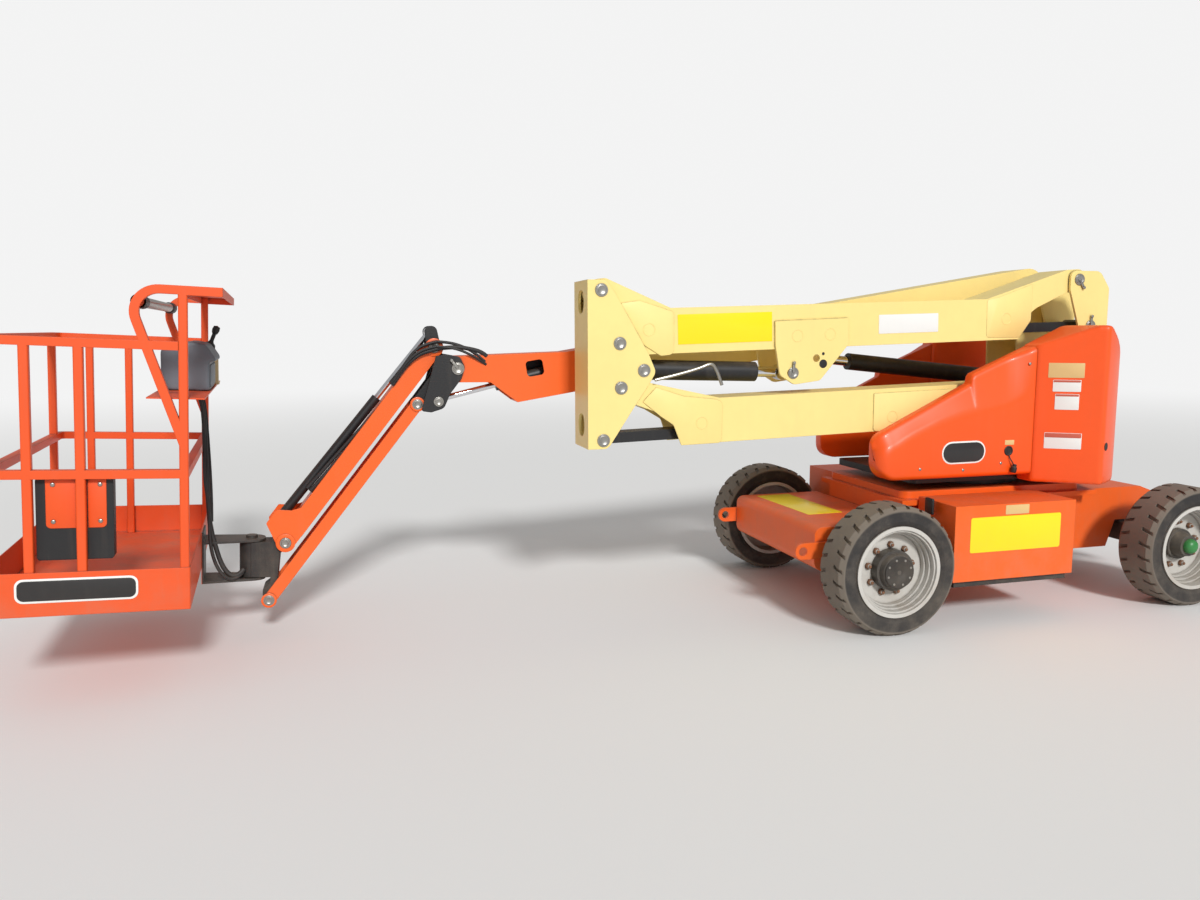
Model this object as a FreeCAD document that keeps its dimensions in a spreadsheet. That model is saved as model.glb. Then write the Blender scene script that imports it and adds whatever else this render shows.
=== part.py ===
import FreeCAD, Part
import math
import os
import Sketcher
from FreeCAD import Placement, Rotation, Vector

# Electric articulating boom lift, millimetres and degrees, +Z up.
# The origin is on the ground under the swing axis, midway between the axles.
# +X points at the steered axle, and the booms lie over -X. +Y is the far side,
# where the main boom lies, and the tower arms lie on the -Y side.

SIZES = {
    # wheels and axles
    "wheelbase": 2000, "overall_width": 1750, "tyre_radius": 354, "tyre_width": 240,
    "tyre_inset": 14, "shoulder_drop": 20, "shoulder_run": 26, "tread_depth": 16,
    "lug_count": 27, "groove_width": 20, "groove_length": 82, "groove_slant": 24,
    "rim_seat": 238, "rim_wall": 9, "rim_lip": 12, "step_width": 30,
    "step_drop": 11, "disc_depth": 150, "disc_wall": 14, "drive_disc_depth": 105, "disc_bore": 30,
    "hub_radius": 92, "hub_base": 30, "drive_hub_radius": 112, "drive_cap_radius": 97,
    "drive_hub_reach": 100, "drive_cap_reach": 40, "hub_cone": 62, "hub_reach": 92,
    "cap_radius": 42, "cap_reach": 20, "nut_circle": 134, "nut_radius": 11, "nut_reach": 24,
    "nut_count": 9,
    "axle_height": 354, "axle_half": 60, "fork_reach": 45,
    "king_offset": 620, "king_radius": 24, "king_boss": 45, "fork_plate": 18, "king_gap": 0.3,
    "spindle_radius": 38, "seat": 0.3, "gearbox_radius": 105,
    # chassis
    "frame_half": 360, "frame_low": 262, "frame_high": 640, "frame_ahead": 80,
    "nose_ahead": 300, "nose_low": 440, "nose_high": 560,
    "axle_saddle": 430, "saddle_half": 100, "saddle_slope": 60,
    "deck_half": 470, "deck_high": 655, "deck_gap": 360, "deck_wall": 15,
    "cover_inset": 30, "cover_front": 560, "cover_half": 430, "cover_high": 700,
    "drive_behind": 320, "drive_ahead": 270, "drive_half": 530, "drive_low": 295,
    "drive_high": 546,
    "drive_round": 45, "lug_offset": 80, "nose_lug_offset": 100, "tie_height": 420,
    "tie_bore": 25, "tie_ring": 46, "tie_wall": 20, "tie_inset": 90,
    "box_clear": 16, "box_length": 790, "box_outer": 820, "box_inner": 480, "box_low": 255,
    "box_high": 680, "rail_low": 220, "rail_inset": 24,
    "box_wall": 5, "pack_gap": 40, "pack_height": 300,
    # slewing ring and turntable
    "ring_radius": 330, "ring_bore": 230, "ring_high": 744.7,
    "table_high": 785, "table_half": 430, "table_back": -640, "table_front": 740,
    "tail_radius": 860, "tail_seam": 66, "tail_top": 1660, "tail_flare": 781,
    "tail_corner": 360, "tail_floor": 1040, "tail_slope": 330, "tail_slope_run": 510,
    "hood_low": 790, "hood_front": -946, "far_hood_front": -760, "hood_outer": 560,
    "hood_inner": 445, "hood_nose": 1035, "hood_notch": -334, "hood_slope": 0.478,
    "hood_step_low": 1328, "hood_step_high": 1379, "hood_rear": 1540, "hood_round": 110,
    "cheek_foot_back": 200, "cheek_foot_front": 730,
    # tower linkage, reach is from pin to pin
    "tower_y": -260, "tower_half": 140, "tower_plate": 15, "tower_gap": 7,
    "foot_x": 583, "foot_z": 1425, "tower_reach": 2990, "tower_tilt": 1.67,
    "lower_link_x": -98, "lower_link_z": -276, "upper_link_x": 100, "upper_link_z": -276,
    "post_x": -107, "post_z": 509, "pin_radius": 25, "pin_fit": 0.4, "pin_proud": 6,
    "arm_wall": 8, "arm_depth": 245, "lower_drop": 82, "upper_drop": 101,
    "link_half": 60, "link_depth": 56, "link_boss": 38,
    "ram_foot_x": 126, "ram_foot_z": 90, "ram_eye_x": 1080, "ram_eye_z": -477,
    "bracket_wall": 14,
    # main boom and fly
    "boom_y": 140, "boom_x": -26, "boom_z": -54, "boom_half": 125, "boom_low": -118,
    "boom_high": 142, "boom_wall": 8, "boom_tilt": 9.1, "boom_tip": 2790, "boom_tail": 130,
    "boom_gap": 10, "fly_gap": 7, "fly_heel": 600, "fly_wall": 8, "pad_length": 100,
    "head_x": 3686, "head_z": 140, "neck_half": 66, "mouth_reach": 296, "step_reach": 615,
    "hatch_reach": 376, "hatch_length": 98, "hatch_low": 25, "hatch_high": 112,
    "lift_foot_z": -621, "lift_eye_x": 1453, "lift_eye_z": -190, "lift_wall": 14,
    "level_reach": 603, "level_z": 38,
    # boom head and jib
    "jaw_half": 131, "jaw_wall": 15, "ear_half": 70, "ear_wall": 12,
    "level_pin_x": -109, "level_pin_z": -178, "jib_x": -122, "jib_z": 115,
    "jib_link_x": -98, "jib_link_z": -308, "jib_reach": 1316, "jib_droop": 51.8,
    "jib_half": 90, "jib_depth": 94, "jib_wall": 10, "jib_link_depth": 64,
    "jib_link_half": 88, "jib_end": 126, "jib_boss": 36, "jib_pin": 20,
    "jib_ram_x": -18, "jib_ram_z": 84, "jib_ram_along": 90, "jib_ram_up": 98,
    "support_half": 66,
    # hydraulic cylinders: barrel radius, rod radius, barrel length, eye radius
    "tower_barrel": 55, "tower_rod": 30, "tower_barrel_length": 700, "tower_eye": 44,
    "lift_barrel": 52, "lift_rod": 30, "lift_barrel_length": 1215, "lift_eye": 42,
    "level_barrel": 35, "level_rod": 16, "level_barrel_length": 400, "level_eye": 27,
    "jib_barrel": 25, "jib_rod": 15, "jib_barrel_length": 820, "jib_eye": 28,
    "eye_half": 32, "rod_fit": 0.3,
    # work platform
    "rotator_x": -4330, "rotator_radius": 62, "rotator_low": -69, "rotator_high": 123,
    "rotator_pin": 30, "yoke_wall": 12, "yoke_gap": 3, "yoke_half": 100, "yoke_round": 70,
    "yoke_clear": 98,
    "platform_low": 402, "platform_tilt": 2.8, "platform_turn": 4.3,
    "platform_back": -1056, "platform_front": -246, "platform_near": -842,
    "platform_far": 733, "platform_round": 60, "corner_round": 8, "floor_high": 35,
    "kick_high": 190, "kick_wall": 4, "rail_size": 38, "tube_round": 7, "rail_top": 1185, "rail_mid": 627,
    "side_post": 441, "entry_post": 640, "end_post": 140, "hoop_top": 1425, "hoop_foot": 739,
    "hoop_lean": 236, "hoop_half": 20, "hoop_round": 81, "visor_reach": 141, "visor_depth": 40,
    "shelf_high": 940, "shelf_wall": 6, "shelf_back": -420, "shelf_front": -185,
    "bar_back": -445, "bar_high": 1350, "bar_radius": 22,
    "console_near": -300, "console_far": 200, "console_back": -410, "console_front": -192,
    "lid_low": 1085, "lid_high": 1180, "lid_reach": 28,
    "papers_back": -847, "papers_front": -551, "papers_low": 234, "papers_high": 591,
    "papers_depth": 60,
}


def words(value):
    if isinstance(value, Size):
        return value.words
    return "(%r)" % float(value)


def joined(left, sign, right, number):
    return Size(number, "(%s %s %s)" % (words(left), sign, words(right)))


# A number that remembers the sheet expression it was worked out with.
class Size(float):
    def __new__(cls, number, text=None):
        size = float.__new__(cls, number)
        size.words = text or "(%r)" % float(number)
        return size

    def __add__(self, other):
        return joined(self, "+", other, float(self) + float(other))

    def __radd__(self, other):
        return joined(other, "+", self, float(other) + float(self))

    def __sub__(self, other):
        return joined(self, "-", other, float(self) - float(other))

    def __rsub__(self, other):
        return joined(other, "-", self, float(other) - float(self))

    def __mul__(self, other):
        return joined(self, "*", other, float(self) * float(other))

    def __rmul__(self, other):
        return joined(other, "*", self, float(other) * float(self))

    def __truediv__(self, other):
        return joined(self, "/", other, float(self) / float(other))

    def __neg__(self):
        return Size(-float(self), "(-1 * %s)" % self.words)


def cosine(angle):
    return Size(math.cos(math.radians(angle)), "cos(%s)" % words(angle))


def sine(angle):
    return Size(math.sin(math.radians(angle)), "sin(%s)" % words(angle))


# Pitch that turns local +X towards the direction (across, up).
def aim(across, up):
    number = math.degrees(math.atan2(-float(up), float(across)))
    return Size(number, "atan2(-1 * %s; %s)" % (words(up), words(across)))


def span(across, up):
    text = "sqrt(%s ^ 2 + %s ^ 2)" % (words(across), words(up))
    return Size(math.hypot(float(across), float(up)), text)


doc = FreeCAD.newDocument("BoomLift")
sheet = doc.addObject("Spreadsheet::Sheet", "sizes")


class Sheet:
    pass


s = Sheet()
for row, (name, number) in enumerate(SIZES.items(), start=1):
    sheet.set("A%d" % row, name)
    sheet.set("B%d" % row, str(number))
    sheet.setAlias("B%d" % row, name)
    setattr(s, name, Size(number, "sizes.%s" % name))
doc.recompute()

pieces = []


def bind(thing, path, value):
    if isinstance(value, Size) and "sizes." in value.words:
        thing.setExpression(path, value.words)


# Helpers that draw closed outlines, each corner fixed to the sheet's sizes.

def corner_trim(before, corner, after, radius):
    a = Vector(before[0] - corner[0], before[1] - corner[1], 0).normalize()
    b = Vector(after[0] - corner[0], after[1] - corner[1], 0).normalize()
    half = a.getAngle(b) / 2
    reach = radius / math.tan(half)
    point = Vector(corner[0], corner[1], 0)
    middle = (a + b).normalize() * (radius / math.sin(half))
    return point + a * reach, point + b * reach, point + middle, a.cross(b).z < 0


def fix_number(sketch, kind, geometry, vertex, value):
    rule = Sketcher.Constraint(kind, geometry, vertex, float(value))
    index = sketch.addConstraint(rule)
    bind(sketch, "Constraints[%d]" % index, value)


def draw_outline(sketch, corners, closed=True):
    count = len(corners)
    plain = [(float(c[0]), float(c[1])) for c in corners]
    starts, ends, arcs = {}, {}, {}
    for i, corner in enumerate(corners):
        starts[i] = ends[i] = Vector(plain[i][0], plain[i][1], 0)
        inner = closed or 0 < i < count - 1
        if len(corner) > 2 and inner:
            before, after = plain[i - 1], plain[(i + 1) % count]
            first, last, centre, left = corner_trim(before, plain[i], after, float(corner[2]))
            ends[i], starts[i], arcs[i] = first, last, (centre, left)
    edges = count if closed else count - 1
    lines = []
    for i in range(edges):
        line = Part.LineSegment(starts[i], ends[(i + 1) % count])
        lines.append(sketch.addGeometry(line, False))
    for i, corner in enumerate(corners):
        before = lines[i - 1] if closed or i > 0 else None
        after = lines[i] if closed or i < count - 1 else None
        if i in arcs:
            centre, left = arcs[i]
            circle = Part.Circle(centre, Vector(0, 0, 1), float(corner[2]))
            first, last = (ends[i], starts[i]) if left else (starts[i], ends[i])
            turn = [math.atan2(p.y - centre.y, p.x - centre.x) for p in (first, last)]
            arc = sketch.addGeometry(Part.ArcOfCircle(circle, turn[0], turn[1]), False)
            dot = sketch.addGeometry(Part.Point(Vector(*plain[i], 0)), True)
            fix_number(sketch, "DistanceX", dot, 1, corner[0])
            fix_number(sketch, "DistanceY", dot, 1, corner[1])
            sketch.addConstraint([
                Sketcher.Constraint("PointOnObject", dot, 1, before),
                Sketcher.Constraint("PointOnObject", dot, 1, after),
                Sketcher.Constraint("Tangent", before, 2, arc, 1 if left else 2),
                Sketcher.Constraint("Tangent", after, 1, arc, 2 if left else 1),
            ])
            index = sketch.addConstraint(Sketcher.Constraint("Radius", arc, float(corner[2])))
            bind(sketch, "Constraints[%d]" % index, corner[2])
            continue
        if before is not None and after is not None:
            sketch.addConstraint(Sketcher.Constraint("Coincident", before, 2, after, 1))
        edge, vertex = (after, 1) if after is not None else (before, 2)
        fix_number(sketch, "DistanceX", edge, vertex, corner[0])
        fix_number(sketch, "DistanceY", edge, vertex, corner[1])


def draw_circle(sketch, across, up, radius):
    circle = Part.Circle(Vector(across, up, 0), Vector(0, 0, 1), float(radius))
    index = sketch.addGeometry(circle, False)
    fix_number(sketch, "DistanceX", index, 3, across)
    fix_number(sketch, "DistanceY", index, 3, up)
    rule = sketch.addConstraint(Sketcher.Constraint("Radius", index, float(radius)))
    bind(sketch, "Constraints[%d]" % rule, radius)


# A sub-part: one body with its own placement, built up by pads and pockets.
# Sketch planes are named for the view: side is XZ, plan is XY, front is YZ.
class Piece:
    planes = {"side": "XZ_Plane", "plan": "XY_Plane", "front": "YZ_Plane"}

    def __init__(self, name, x=0, y=0, z=0, pitch=0, turn=0):
        self.name = name
        self.body = doc.addObject("PartDesign::Body", "body_" + name)
        self.body.Label = name
        self.body.AllowCompound = True
        place = "placement(vector(%s; %s; %s); rotation(0; %s; 0))"
        place = place % (words(x), words(y), words(z), words(pitch))
        swivel = "placement(vector(0; 0; 0); rotation(%s; 0; 0))" % words(turn)
        self.body.setExpression("Placement", place + " * " + swivel)
        pieces.append(self)

    def sketch(self, view, offset=0):
        role = self.planes[view]
        plane = [f for f in self.body.Origin.OriginFeatures if f.Role == role][0]
        sketch = self.body.newObject("Sketcher::SketchObject", self.name + "_sketch")
        sketch.AttachmentSupport = [(plane, "")]
        sketch.MapMode = "FlatFace"
        sketch.AttachmentOffset = Placement(Vector(0, 0, float(offset)), Rotation())
        bind(sketch, ".AttachmentOffset.Base.z", offset)
        return sketch

    # Pads or cuts outlines and circles between two distances along the view's normal.
    def block(self, view, low, high, outlines=(), circles=(), cut=False):
        flip = view == "side"
        sketch = self.sketch(view, -high if flip else low)
        for corners in outlines:
            draw_outline(sketch, corners)
        for across, up, radius in circles:
            draw_circle(sketch, across, up, radius)
        kind = "PartDesign::Pocket" if cut else "PartDesign::Pad"
        feature = self.body.newObject(kind, self.name + ("_cut" if cut else "_pad"))
        feature.Profile = sketch
        feature.Reversed = cut
        length = high - low
        feature.Length = float(length)
        bind(feature, "Length", length)
        return self

    def side(self, low, high, *outlines, circles=(), cut=False):
        return self.block("side", low, high, outlines, circles, cut)

    def plan(self, low, high, *outlines, circles=(), cut=False):
        return self.block("plan", low, high, outlines, circles, cut)

    def front(self, low, high, *outlines, circles=(), cut=False):
        return self.block("front", low, high, outlines, circles, cut)

    # The same side outline on both sides of the middle plane.
    def pair(self, outer, wall, *outlines, circles=(), cut=False):
        self.block("side", -outer, wall - outer, outlines, circles, cut)
        return self.block("side", outer - wall, outer, outlines, circles, cut)

    # Turned about the local Y axis from (y, radius) corners.
    def turned(self, *outlines, cut=False):
        sketch = self.sketch("front")
        for corners in outlines:
            draw_outline(sketch, corners)
        kind = "PartDesign::Groove" if cut else "PartDesign::Revolution"
        feature = self.body.newObject(kind, self.name + "_turned")
        feature.Profile = sketch
        feature.ReferenceAxis = (sketch, ["H_Axis"])
        feature.Angle = 360.0
        return self

    # The last pad or cut again, evenly round the local Y axis.
    def repeat(self, feature, count):
        ring = self.body.newObject("PartDesign::PolarPattern", self.name + "_ring")
        ring.Originals = [feature]
        axis = [f for f in self.body.Origin.OriginFeatures if f.Role == "Y_Axis"][0]
        ring.Axis = (axis, [""])
        ring.Angle = 360.0
        ring.Occurrences = int(count)
        bind(ring, "Occurrences", count)
        self.body.Tip = ring


def box(left, low, right, high, *radius):
    corners = [(left, low), (right, low), (right, high), (left, high)]
    return [corner + radius for corner in corners]


# Places worked out once and shared by the pieces that meet there.
half_wheelbase = s.wheelbase / 2
tyre_middle = (s.overall_width - s.tyre_width) / 2
tower_run = s.tower_reach * cosine(s.tower_tilt)
tower_rise = s.tower_reach * sine(s.tower_tilt)
knee = (s.foot_x - tower_run, s.foot_z - tower_rise)
shoulder = (knee[0] + s.post_x, knee[1] + s.post_z)
crown = (shoulder[0] + tower_run, shoulder[1] + tower_rise)
frame_back, drive_back = s.drive_ahead - half_wheelbase, -s.drive_behind - half_wheelbase
nose_front = half_wheelbase + s.nose_ahead
box_back = s.tyre_radius + s.box_clear - half_wheelbase
box_front = box_back + s.box_length
boom_pin = (crown[0] + s.boom_x, crown[1] + s.boom_z)
boom_cos, boom_sin = cosine(s.boom_tilt), sine(s.boom_tilt)


# World place of a point given along the boom (towards the tip) and above its axis.
def on_boom(along, above):
    x = boom_pin[0] - along * boom_cos - above * boom_sin
    return x, boom_pin[1] - along * boom_sin + above * boom_cos


head = on_boom(s.head_x, s.head_z)
jib_top = (head[0] + s.jib_x, head[1] + s.jib_z)
jib_cos, jib_sin = cosine(s.jib_droop), sine(s.jib_droop)
jib_foot = (jib_top[0] - s.jib_reach * jib_cos, jib_top[1] - s.jib_reach * jib_sin)
bore = s.pin_radius + s.pin_fit
jib_bore = s.jib_pin + s.pin_fit


def make_chassis():
    frame = Piece("chassis_frame")
    saddle_back, saddle_front = half_wheelbase - s.saddle_half, half_wheelbase + s.saddle_half
    outline = [(frame_back, s.frame_low), (saddle_back - s.saddle_slope, s.frame_low),
               (saddle_back, s.axle_saddle), (saddle_front, s.axle_saddle),
               (nose_front, s.nose_low), (nose_front, s.nose_high),
               (half_wheelbase + s.frame_ahead, s.frame_high), (frame_back, s.frame_high)]
    frame.side(-s.frame_half, s.frame_half, outline)
    frame.plan(s.frame_high - s.deck_wall, s.deck_high,
               box(frame_back, -s.deck_half, half_wheelbase - s.deck_gap, s.deck_half))
    frame.plan(s.deck_high, s.cover_high,
               box(frame_back + s.cover_inset, -s.cover_half, s.cover_front, s.cover_half, 60))

    drive = Piece("drive_box")
    drive.side(-s.drive_half, s.drive_half,
               [(drive_back, s.drive_low, 60), (frame_back, s.drive_low),
                (frame_back, s.drive_high), (drive_back, s.drive_high, s.drive_round)])
    tie_x = drive_back - s.lug_offset
    low_edge, high_edge = s.tie_height - s.tie_ring, s.tie_height + s.tie_ring
    plate = [(drive_back + s.tie_inset, low_edge), (drive_back + s.tie_inset, high_edge),
             (tie_x - s.tie_ring, high_edge, s.tie_ring - 1),
             (tie_x - s.tie_ring, low_edge, s.tie_ring - 1)]
    for low in (-s.drive_half - s.tie_wall, s.drive_half):
        drive.side(low, low + s.tie_wall, plate, circles=[(tie_x, s.tie_height, s.tie_bore)])


def make_nose():
    nose = Piece("front_lugs")
    tie_x = nose_front + s.nose_lug_offset
    plate = [(nose_front, s.tie_height + 40), (nose_front, s.tie_height + 120),
             (tie_x, s.tie_height + 120, 40), (tie_x + s.tie_ring, s.tie_height + s.tie_ring, 40),
             (tie_x + s.tie_ring, s.tie_height - s.tie_ring, 44),
             (tie_x - s.tie_ring, s.tie_height - s.tie_ring, 30)]
    for low in (-s.frame_half, s.frame_half - s.tie_wall):
        nose.side(low, low + s.tie_wall, plate, circles=[(tie_x, s.tie_height, s.tie_bore)])


def make_side_boxes():
    for name, sign in (("near_side_box", -1), ("far_side_box", 1)):
        case = Piece(name)
        low, high = sorted((sign * s.box_inner, sign * s.box_outer))
        near = s.box_outer - s.box_wall
        case.side(low, high, [(box_back, s.box_low), (box_front, s.box_low),
                              (box_front, s.box_high), (box_back, s.box_high)])
        inner, outer = sorted((sign * (s.box_inner + s.box_wall), sign * near))
        case.side(inner, outer, box(box_back + s.box_wall, s.box_low + s.box_wall,
                                    box_front - s.box_wall, s.box_high - s.box_wall), cut=True)
        foot = sorted((sign * s.box_inner, sign * (s.box_outer - s.rail_inset)))
        case.plan(s.rail_low, s.box_low, box(box_back + s.rail_inset, foot[0],
                                             box_front - s.rail_inset, foot[1]))
        wing = sorted((sign * s.frame_half, sign * s.box_inner))
        case.plan(s.box_low, s.box_low + 40, box(box_back + 60, wing[0], box_front, wing[1]))
    packs = Piece("battery_packs")
    inset = s.box_wall + s.pack_gap
    for sign in (-1, 1):
        low, high = sorted((sign * (s.box_inner + inset), sign * (s.box_outer - inset)))
        packs.plan(s.box_low + s.box_wall, s.box_low + s.box_wall + s.pack_height,
                   box(box_back + inset, low, box_front - inset, high))


def make_axles():
    rear = Piece("rear_axle", x=-half_wheelbase, z=s.axle_height)
    inner = tyre_middle + s.tyre_width / 2 - s.drive_disc_depth - s.disc_wall - s.seat
    for low, high in ((-inner, -s.drive_half), (s.drive_half, inner)):
        rear.side(low, high, circles=[(0, 0, s.gearbox_radius)])
    front = Piece("front_axle", x=half_wheelbase, z=s.axle_height)
    fork = s.king_offset + s.fork_reach
    beam = s.king_offset - s.fork_reach - 15
    front.side(-beam, beam, box(-s.axle_half, -s.axle_half, s.axle_half, s.axle_half, 12))
    front.plan(s.axle_half, s.axle_saddle - s.axle_height,
               box(-s.axle_half, -s.frame_half, s.axle_half, s.frame_half))
    for sign in (-1, 1):
        low, high = sorted((sign * (beam - 20), sign * fork))
        for base in (-s.axle_half, s.axle_half - s.fork_plate):
            front.plan(base, base + s.fork_plate, box(-s.king_boss, low, s.king_boss, high, 20))
        front.plan(-s.axle_half, s.axle_half, circles=[(0, sign * s.king_offset, s.king_radius)])


def make_knuckles():
    disc = tyre_middle + s.tyre_width / 2 - s.disc_depth - s.disc_wall
    for name, sign in (("near_knuckle", -1), ("far_knuckle", 1)):
        knuckle = Piece(name, x=half_wheelbase, z=s.axle_height)
        reach = s.axle_half - s.fork_plate - s.king_gap
        middle = sign * s.king_offset
        knuckle.plan(-reach, reach, circles=[(0, middle, s.king_boss)])
        low, high = sorted((middle, sign * (disc - s.seat)))
        knuckle.side(low, high, circles=[(0, 0, s.spindle_radius)])
        knuckle.plan(-reach, reach, circles=[(0, middle, s.king_radius + s.pin_fit)], cut=True)


def make_wheels():
    half = s.tyre_width / 2
    for axle, way in (("rear", -1), ("front", 1)):
        for hand, sign in (("near", -1), ("far", 1)):
            place = dict(x=way * half_wheelbase, y=sign * tyre_middle, z=s.axle_height)
            name = "%s_%s_" % (axle, hand)
            make_tyre(Piece(name + "tyre", **place), half)
            depth = s.drive_disc_depth if way < 0 else s.disc_depth
            face = half - depth
            rim = Piece(name + "rim", **place)
            rim.turned([(sign * y, radius) for y, radius in rim_section(half, face)])
            low, high = sorted((sign * face, sign * (face + s.nut_reach)))
            nut = rim.side(low, high, circles=[(0, s.nut_circle, s.nut_radius)]).body.Tip
            rim.repeat(nut, s.nut_count)
            hub = Piece(name + "hub", **place)
            section = drive_hub(face) if way < 0 else steer_hub(face)
            hub.turned([(sign * y, radius) for y, radius in section])


# Ring of rubber with slanted grooves cut across both shoulders, half a pitch apart.
def make_tyre(tyre, half):
    edge, base = half - s.tyre_inset, s.rim_seat
    wall = s.rim_seat + s.rim_lip + 2 * s.tyre_inset
    right = [(edge, base), (edge, base + s.rim_lip), (half, wall), (half, s.tyre_radius - s.shoulder_drop),
             (half - s.shoulder_run, s.tyre_radius)]
    tyre.turned(right + [(-y, radius) for y, radius in right[::-1]])
    pitch = 2 * math.pi * (s.tyre_radius - s.tread_depth) / s.lug_count
    for side, shift in ((1, 0), (-1, pitch / 2)):
        near, far = side * (half + 1), side * (half - s.groove_length)
        corners = [(shift - s.groove_width / 2, near), (shift + s.groove_width / 2, near),
                   (shift + s.groove_width / 2 + s.groove_slant, far),
                   (shift - s.groove_width / 2 + s.groove_slant, far)]
        groove = tyre.plan(s.tyre_radius - s.tread_depth, s.tyre_radius + s.tread_depth,
                           corners, cut=True).body.Tip
        tyre.repeat(groove, s.lug_count)


# Dished rim: lips and bead seats outside, steps down to the disc inside.
def rim_section(half, face):
    lip, seat, inner = s.rim_seat + s.rim_lip, s.rim_seat, s.rim_seat - s.rim_wall
    edge, bead = half - s.rim_lip / 3, half - s.tyre_inset
    back = face - s.disc_wall
    steps = []
    for step in (2, 1, 0):
        y = face + step * s.step_width
        radius = inner - (3 - step) * s.step_drop
        steps += [(y + s.step_width, radius + s.step_drop), (y + s.step_width, radius)]
    last = inner - 3 * s.step_drop
    return [(-edge, inner), (back, inner), (back, s.disc_bore), (face, s.disc_bore),
            (face, last)] + steps[::-1] + [
            (edge, inner), (edge, lip), (bead, lip), (bead, seat),
            (-bead, seat), (-bead, lip), (-edge, lip)]


def drive_hub(face):
    reach = face + s.drive_hub_reach
    cap = reach - s.drive_cap_reach
    return [(face, 0), (reach, 0), (reach, s.drive_cap_radius / 2),
            (reach - s.disc_wall / 2, s.drive_cap_radius - s.disc_wall / 2), (cap, s.drive_cap_radius),
            (cap, s.drive_hub_radius), (face, s.drive_hub_radius)]


def steer_hub(face):
    reach = face + s.hub_reach
    cap = reach + s.cap_reach
    return [(face, 0), (cap, 0), (cap, s.cap_radius / 2), (reach + s.cap_reach / 2, s.cap_radius),
            (reach, s.cap_radius), (reach, s.hub_cone), (face + s.hub_base, s.hub_radius - s.disc_wall),
            (face + s.hub_base, s.hub_radius), (face, s.hub_radius)]


def make_turntable():
    ring = Piece("slew_ring")
    ring.plan(s.cover_high, s.ring_high, circles=[(0, 0, s.ring_radius), (0, 0, s.ring_bore)])

    table = Piece("turntable_frame")
    base = s.ring_high + s.seat
    table.plan(base, s.table_high, box(s.table_back, -s.table_half, s.table_front, s.table_half, 40))
    top = s.foot_z
    cheek = [(s.cheek_foot_back, s.table_high - 5), (s.foot_x - 95, top + 70, 60),
             (s.foot_x + 75, top + 70, 60), (s.cheek_foot_front, top - 230, 60),
             (s.cheek_foot_front, s.table_high - 5)]
    for low in (s.tower_y - s.tower_half, s.tower_y + s.tower_half - s.tower_plate):
        table.side(low, low + s.tower_plate, cheek)
    pins = [(s.foot_x, s.foot_z), (s.foot_x + s.lower_link_x, s.foot_z + s.lower_link_z)]
    reach = s.tower_half + s.pin_proud
    table.side(s.tower_y - reach, s.tower_y + reach, circles=[(x, z, s.pin_radius) for x, z in pins])

    tail = Piece("counterweight")
    seam = s.tail_seam
    behind = s.tail_radius + 40
    outer = [(seam, -s.hood_outer), (s.tail_corner, -s.tail_flare), (behind, -s.tail_flare),
             (behind, s.tail_flare), (s.tail_corner, s.tail_flare), (seam, s.hood_outer)]
    tail.plan(base, s.tail_floor, outer)
    for sign in (-1, 1):
        edge = sign * s.table_half
        wing = [(seam, sign * s.hood_outer), (s.tail_corner, sign * s.tail_flare),
                (behind, sign * s.tail_flare), (behind, edge), (seam, edge)]
        tail.plan(s.tail_floor, s.tail_top, wing)
    tail.plan(base, s.tail_top, box(-behind, -behind, behind, behind),
              circles=[(0, 0, s.tail_radius)], cut=True)
    above = s.tail_top + 40
    peak = s.tail_corner - 30
    slope = [(seam - 50, s.hood_rear - 14), (peak, s.tail_top), (peak, above), (seam - 50, above)]
    tail.side(-behind, behind, slope, cut=True)
    peak = s.tail_corner + 30
    back = [(peak, s.tail_top), (peak + s.tail_slope_run, s.tail_top - s.tail_slope),
            (peak + s.tail_slope_run, above), (peak, above)]
    tail.side(-behind, behind, back, cut=True)
    well = box(seam - 100, -s.table_half, s.table_front, s.table_half)
    tail.plan(base, s.tail_floor, well, cut=True)

    for name, sign, front in (("near_hood", -1, s.hood_front), ("far_hood", 1, s.far_hood_front)):
        hood = Piece(name)
        rear = s.tail_seam - s.seat
        nose = s.hood_nose + (front - s.hood_front) * s.hood_slope
        slant = [(front, s.hood_low, s.hood_round), (rear, s.hood_low), (rear, s.hood_rear),
                 (s.hood_notch, s.hood_step_high), (s.hood_notch, s.hood_step_low), (front, nose)]
        low, high = sorted((sign * s.hood_outer, sign * s.hood_inner))
        hood.side(low, high, slant)


# Ears, web and pins that stay upright: the post between the two tower arms.
def make_post():
    post = Piece("mid_upright", x=knee[0], y=s.tower_y, z=knee[1])
    plate = [(-182, -322, 12), (-84, -322, 30), (-62, -306), (77, -97), (160, 24), (193, 81, 40),
             (154, 172), (-33, 494), (-82, 562, 30), (-182, 562, 12)]
    post.pair(s.tower_half, s.tower_plate, plate)
    post.front(-182, -167, box(-s.tower_half, -322, s.tower_half, 562),
               box(-60, -262, 60, -142, 50), box(-60, 392, 60, 512, 50))
    pins = [(0, 0), (s.lower_link_x, s.lower_link_z), (s.post_x, s.post_z),
            (s.post_x + s.upper_link_x, s.post_z + s.upper_link_z), (s.ram_foot_x, s.ram_foot_z)]
    reach = s.tower_half + s.pin_proud
    post.side(-reach, reach, circles=[(x, z, s.pin_radius) for x, z in pins])


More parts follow.
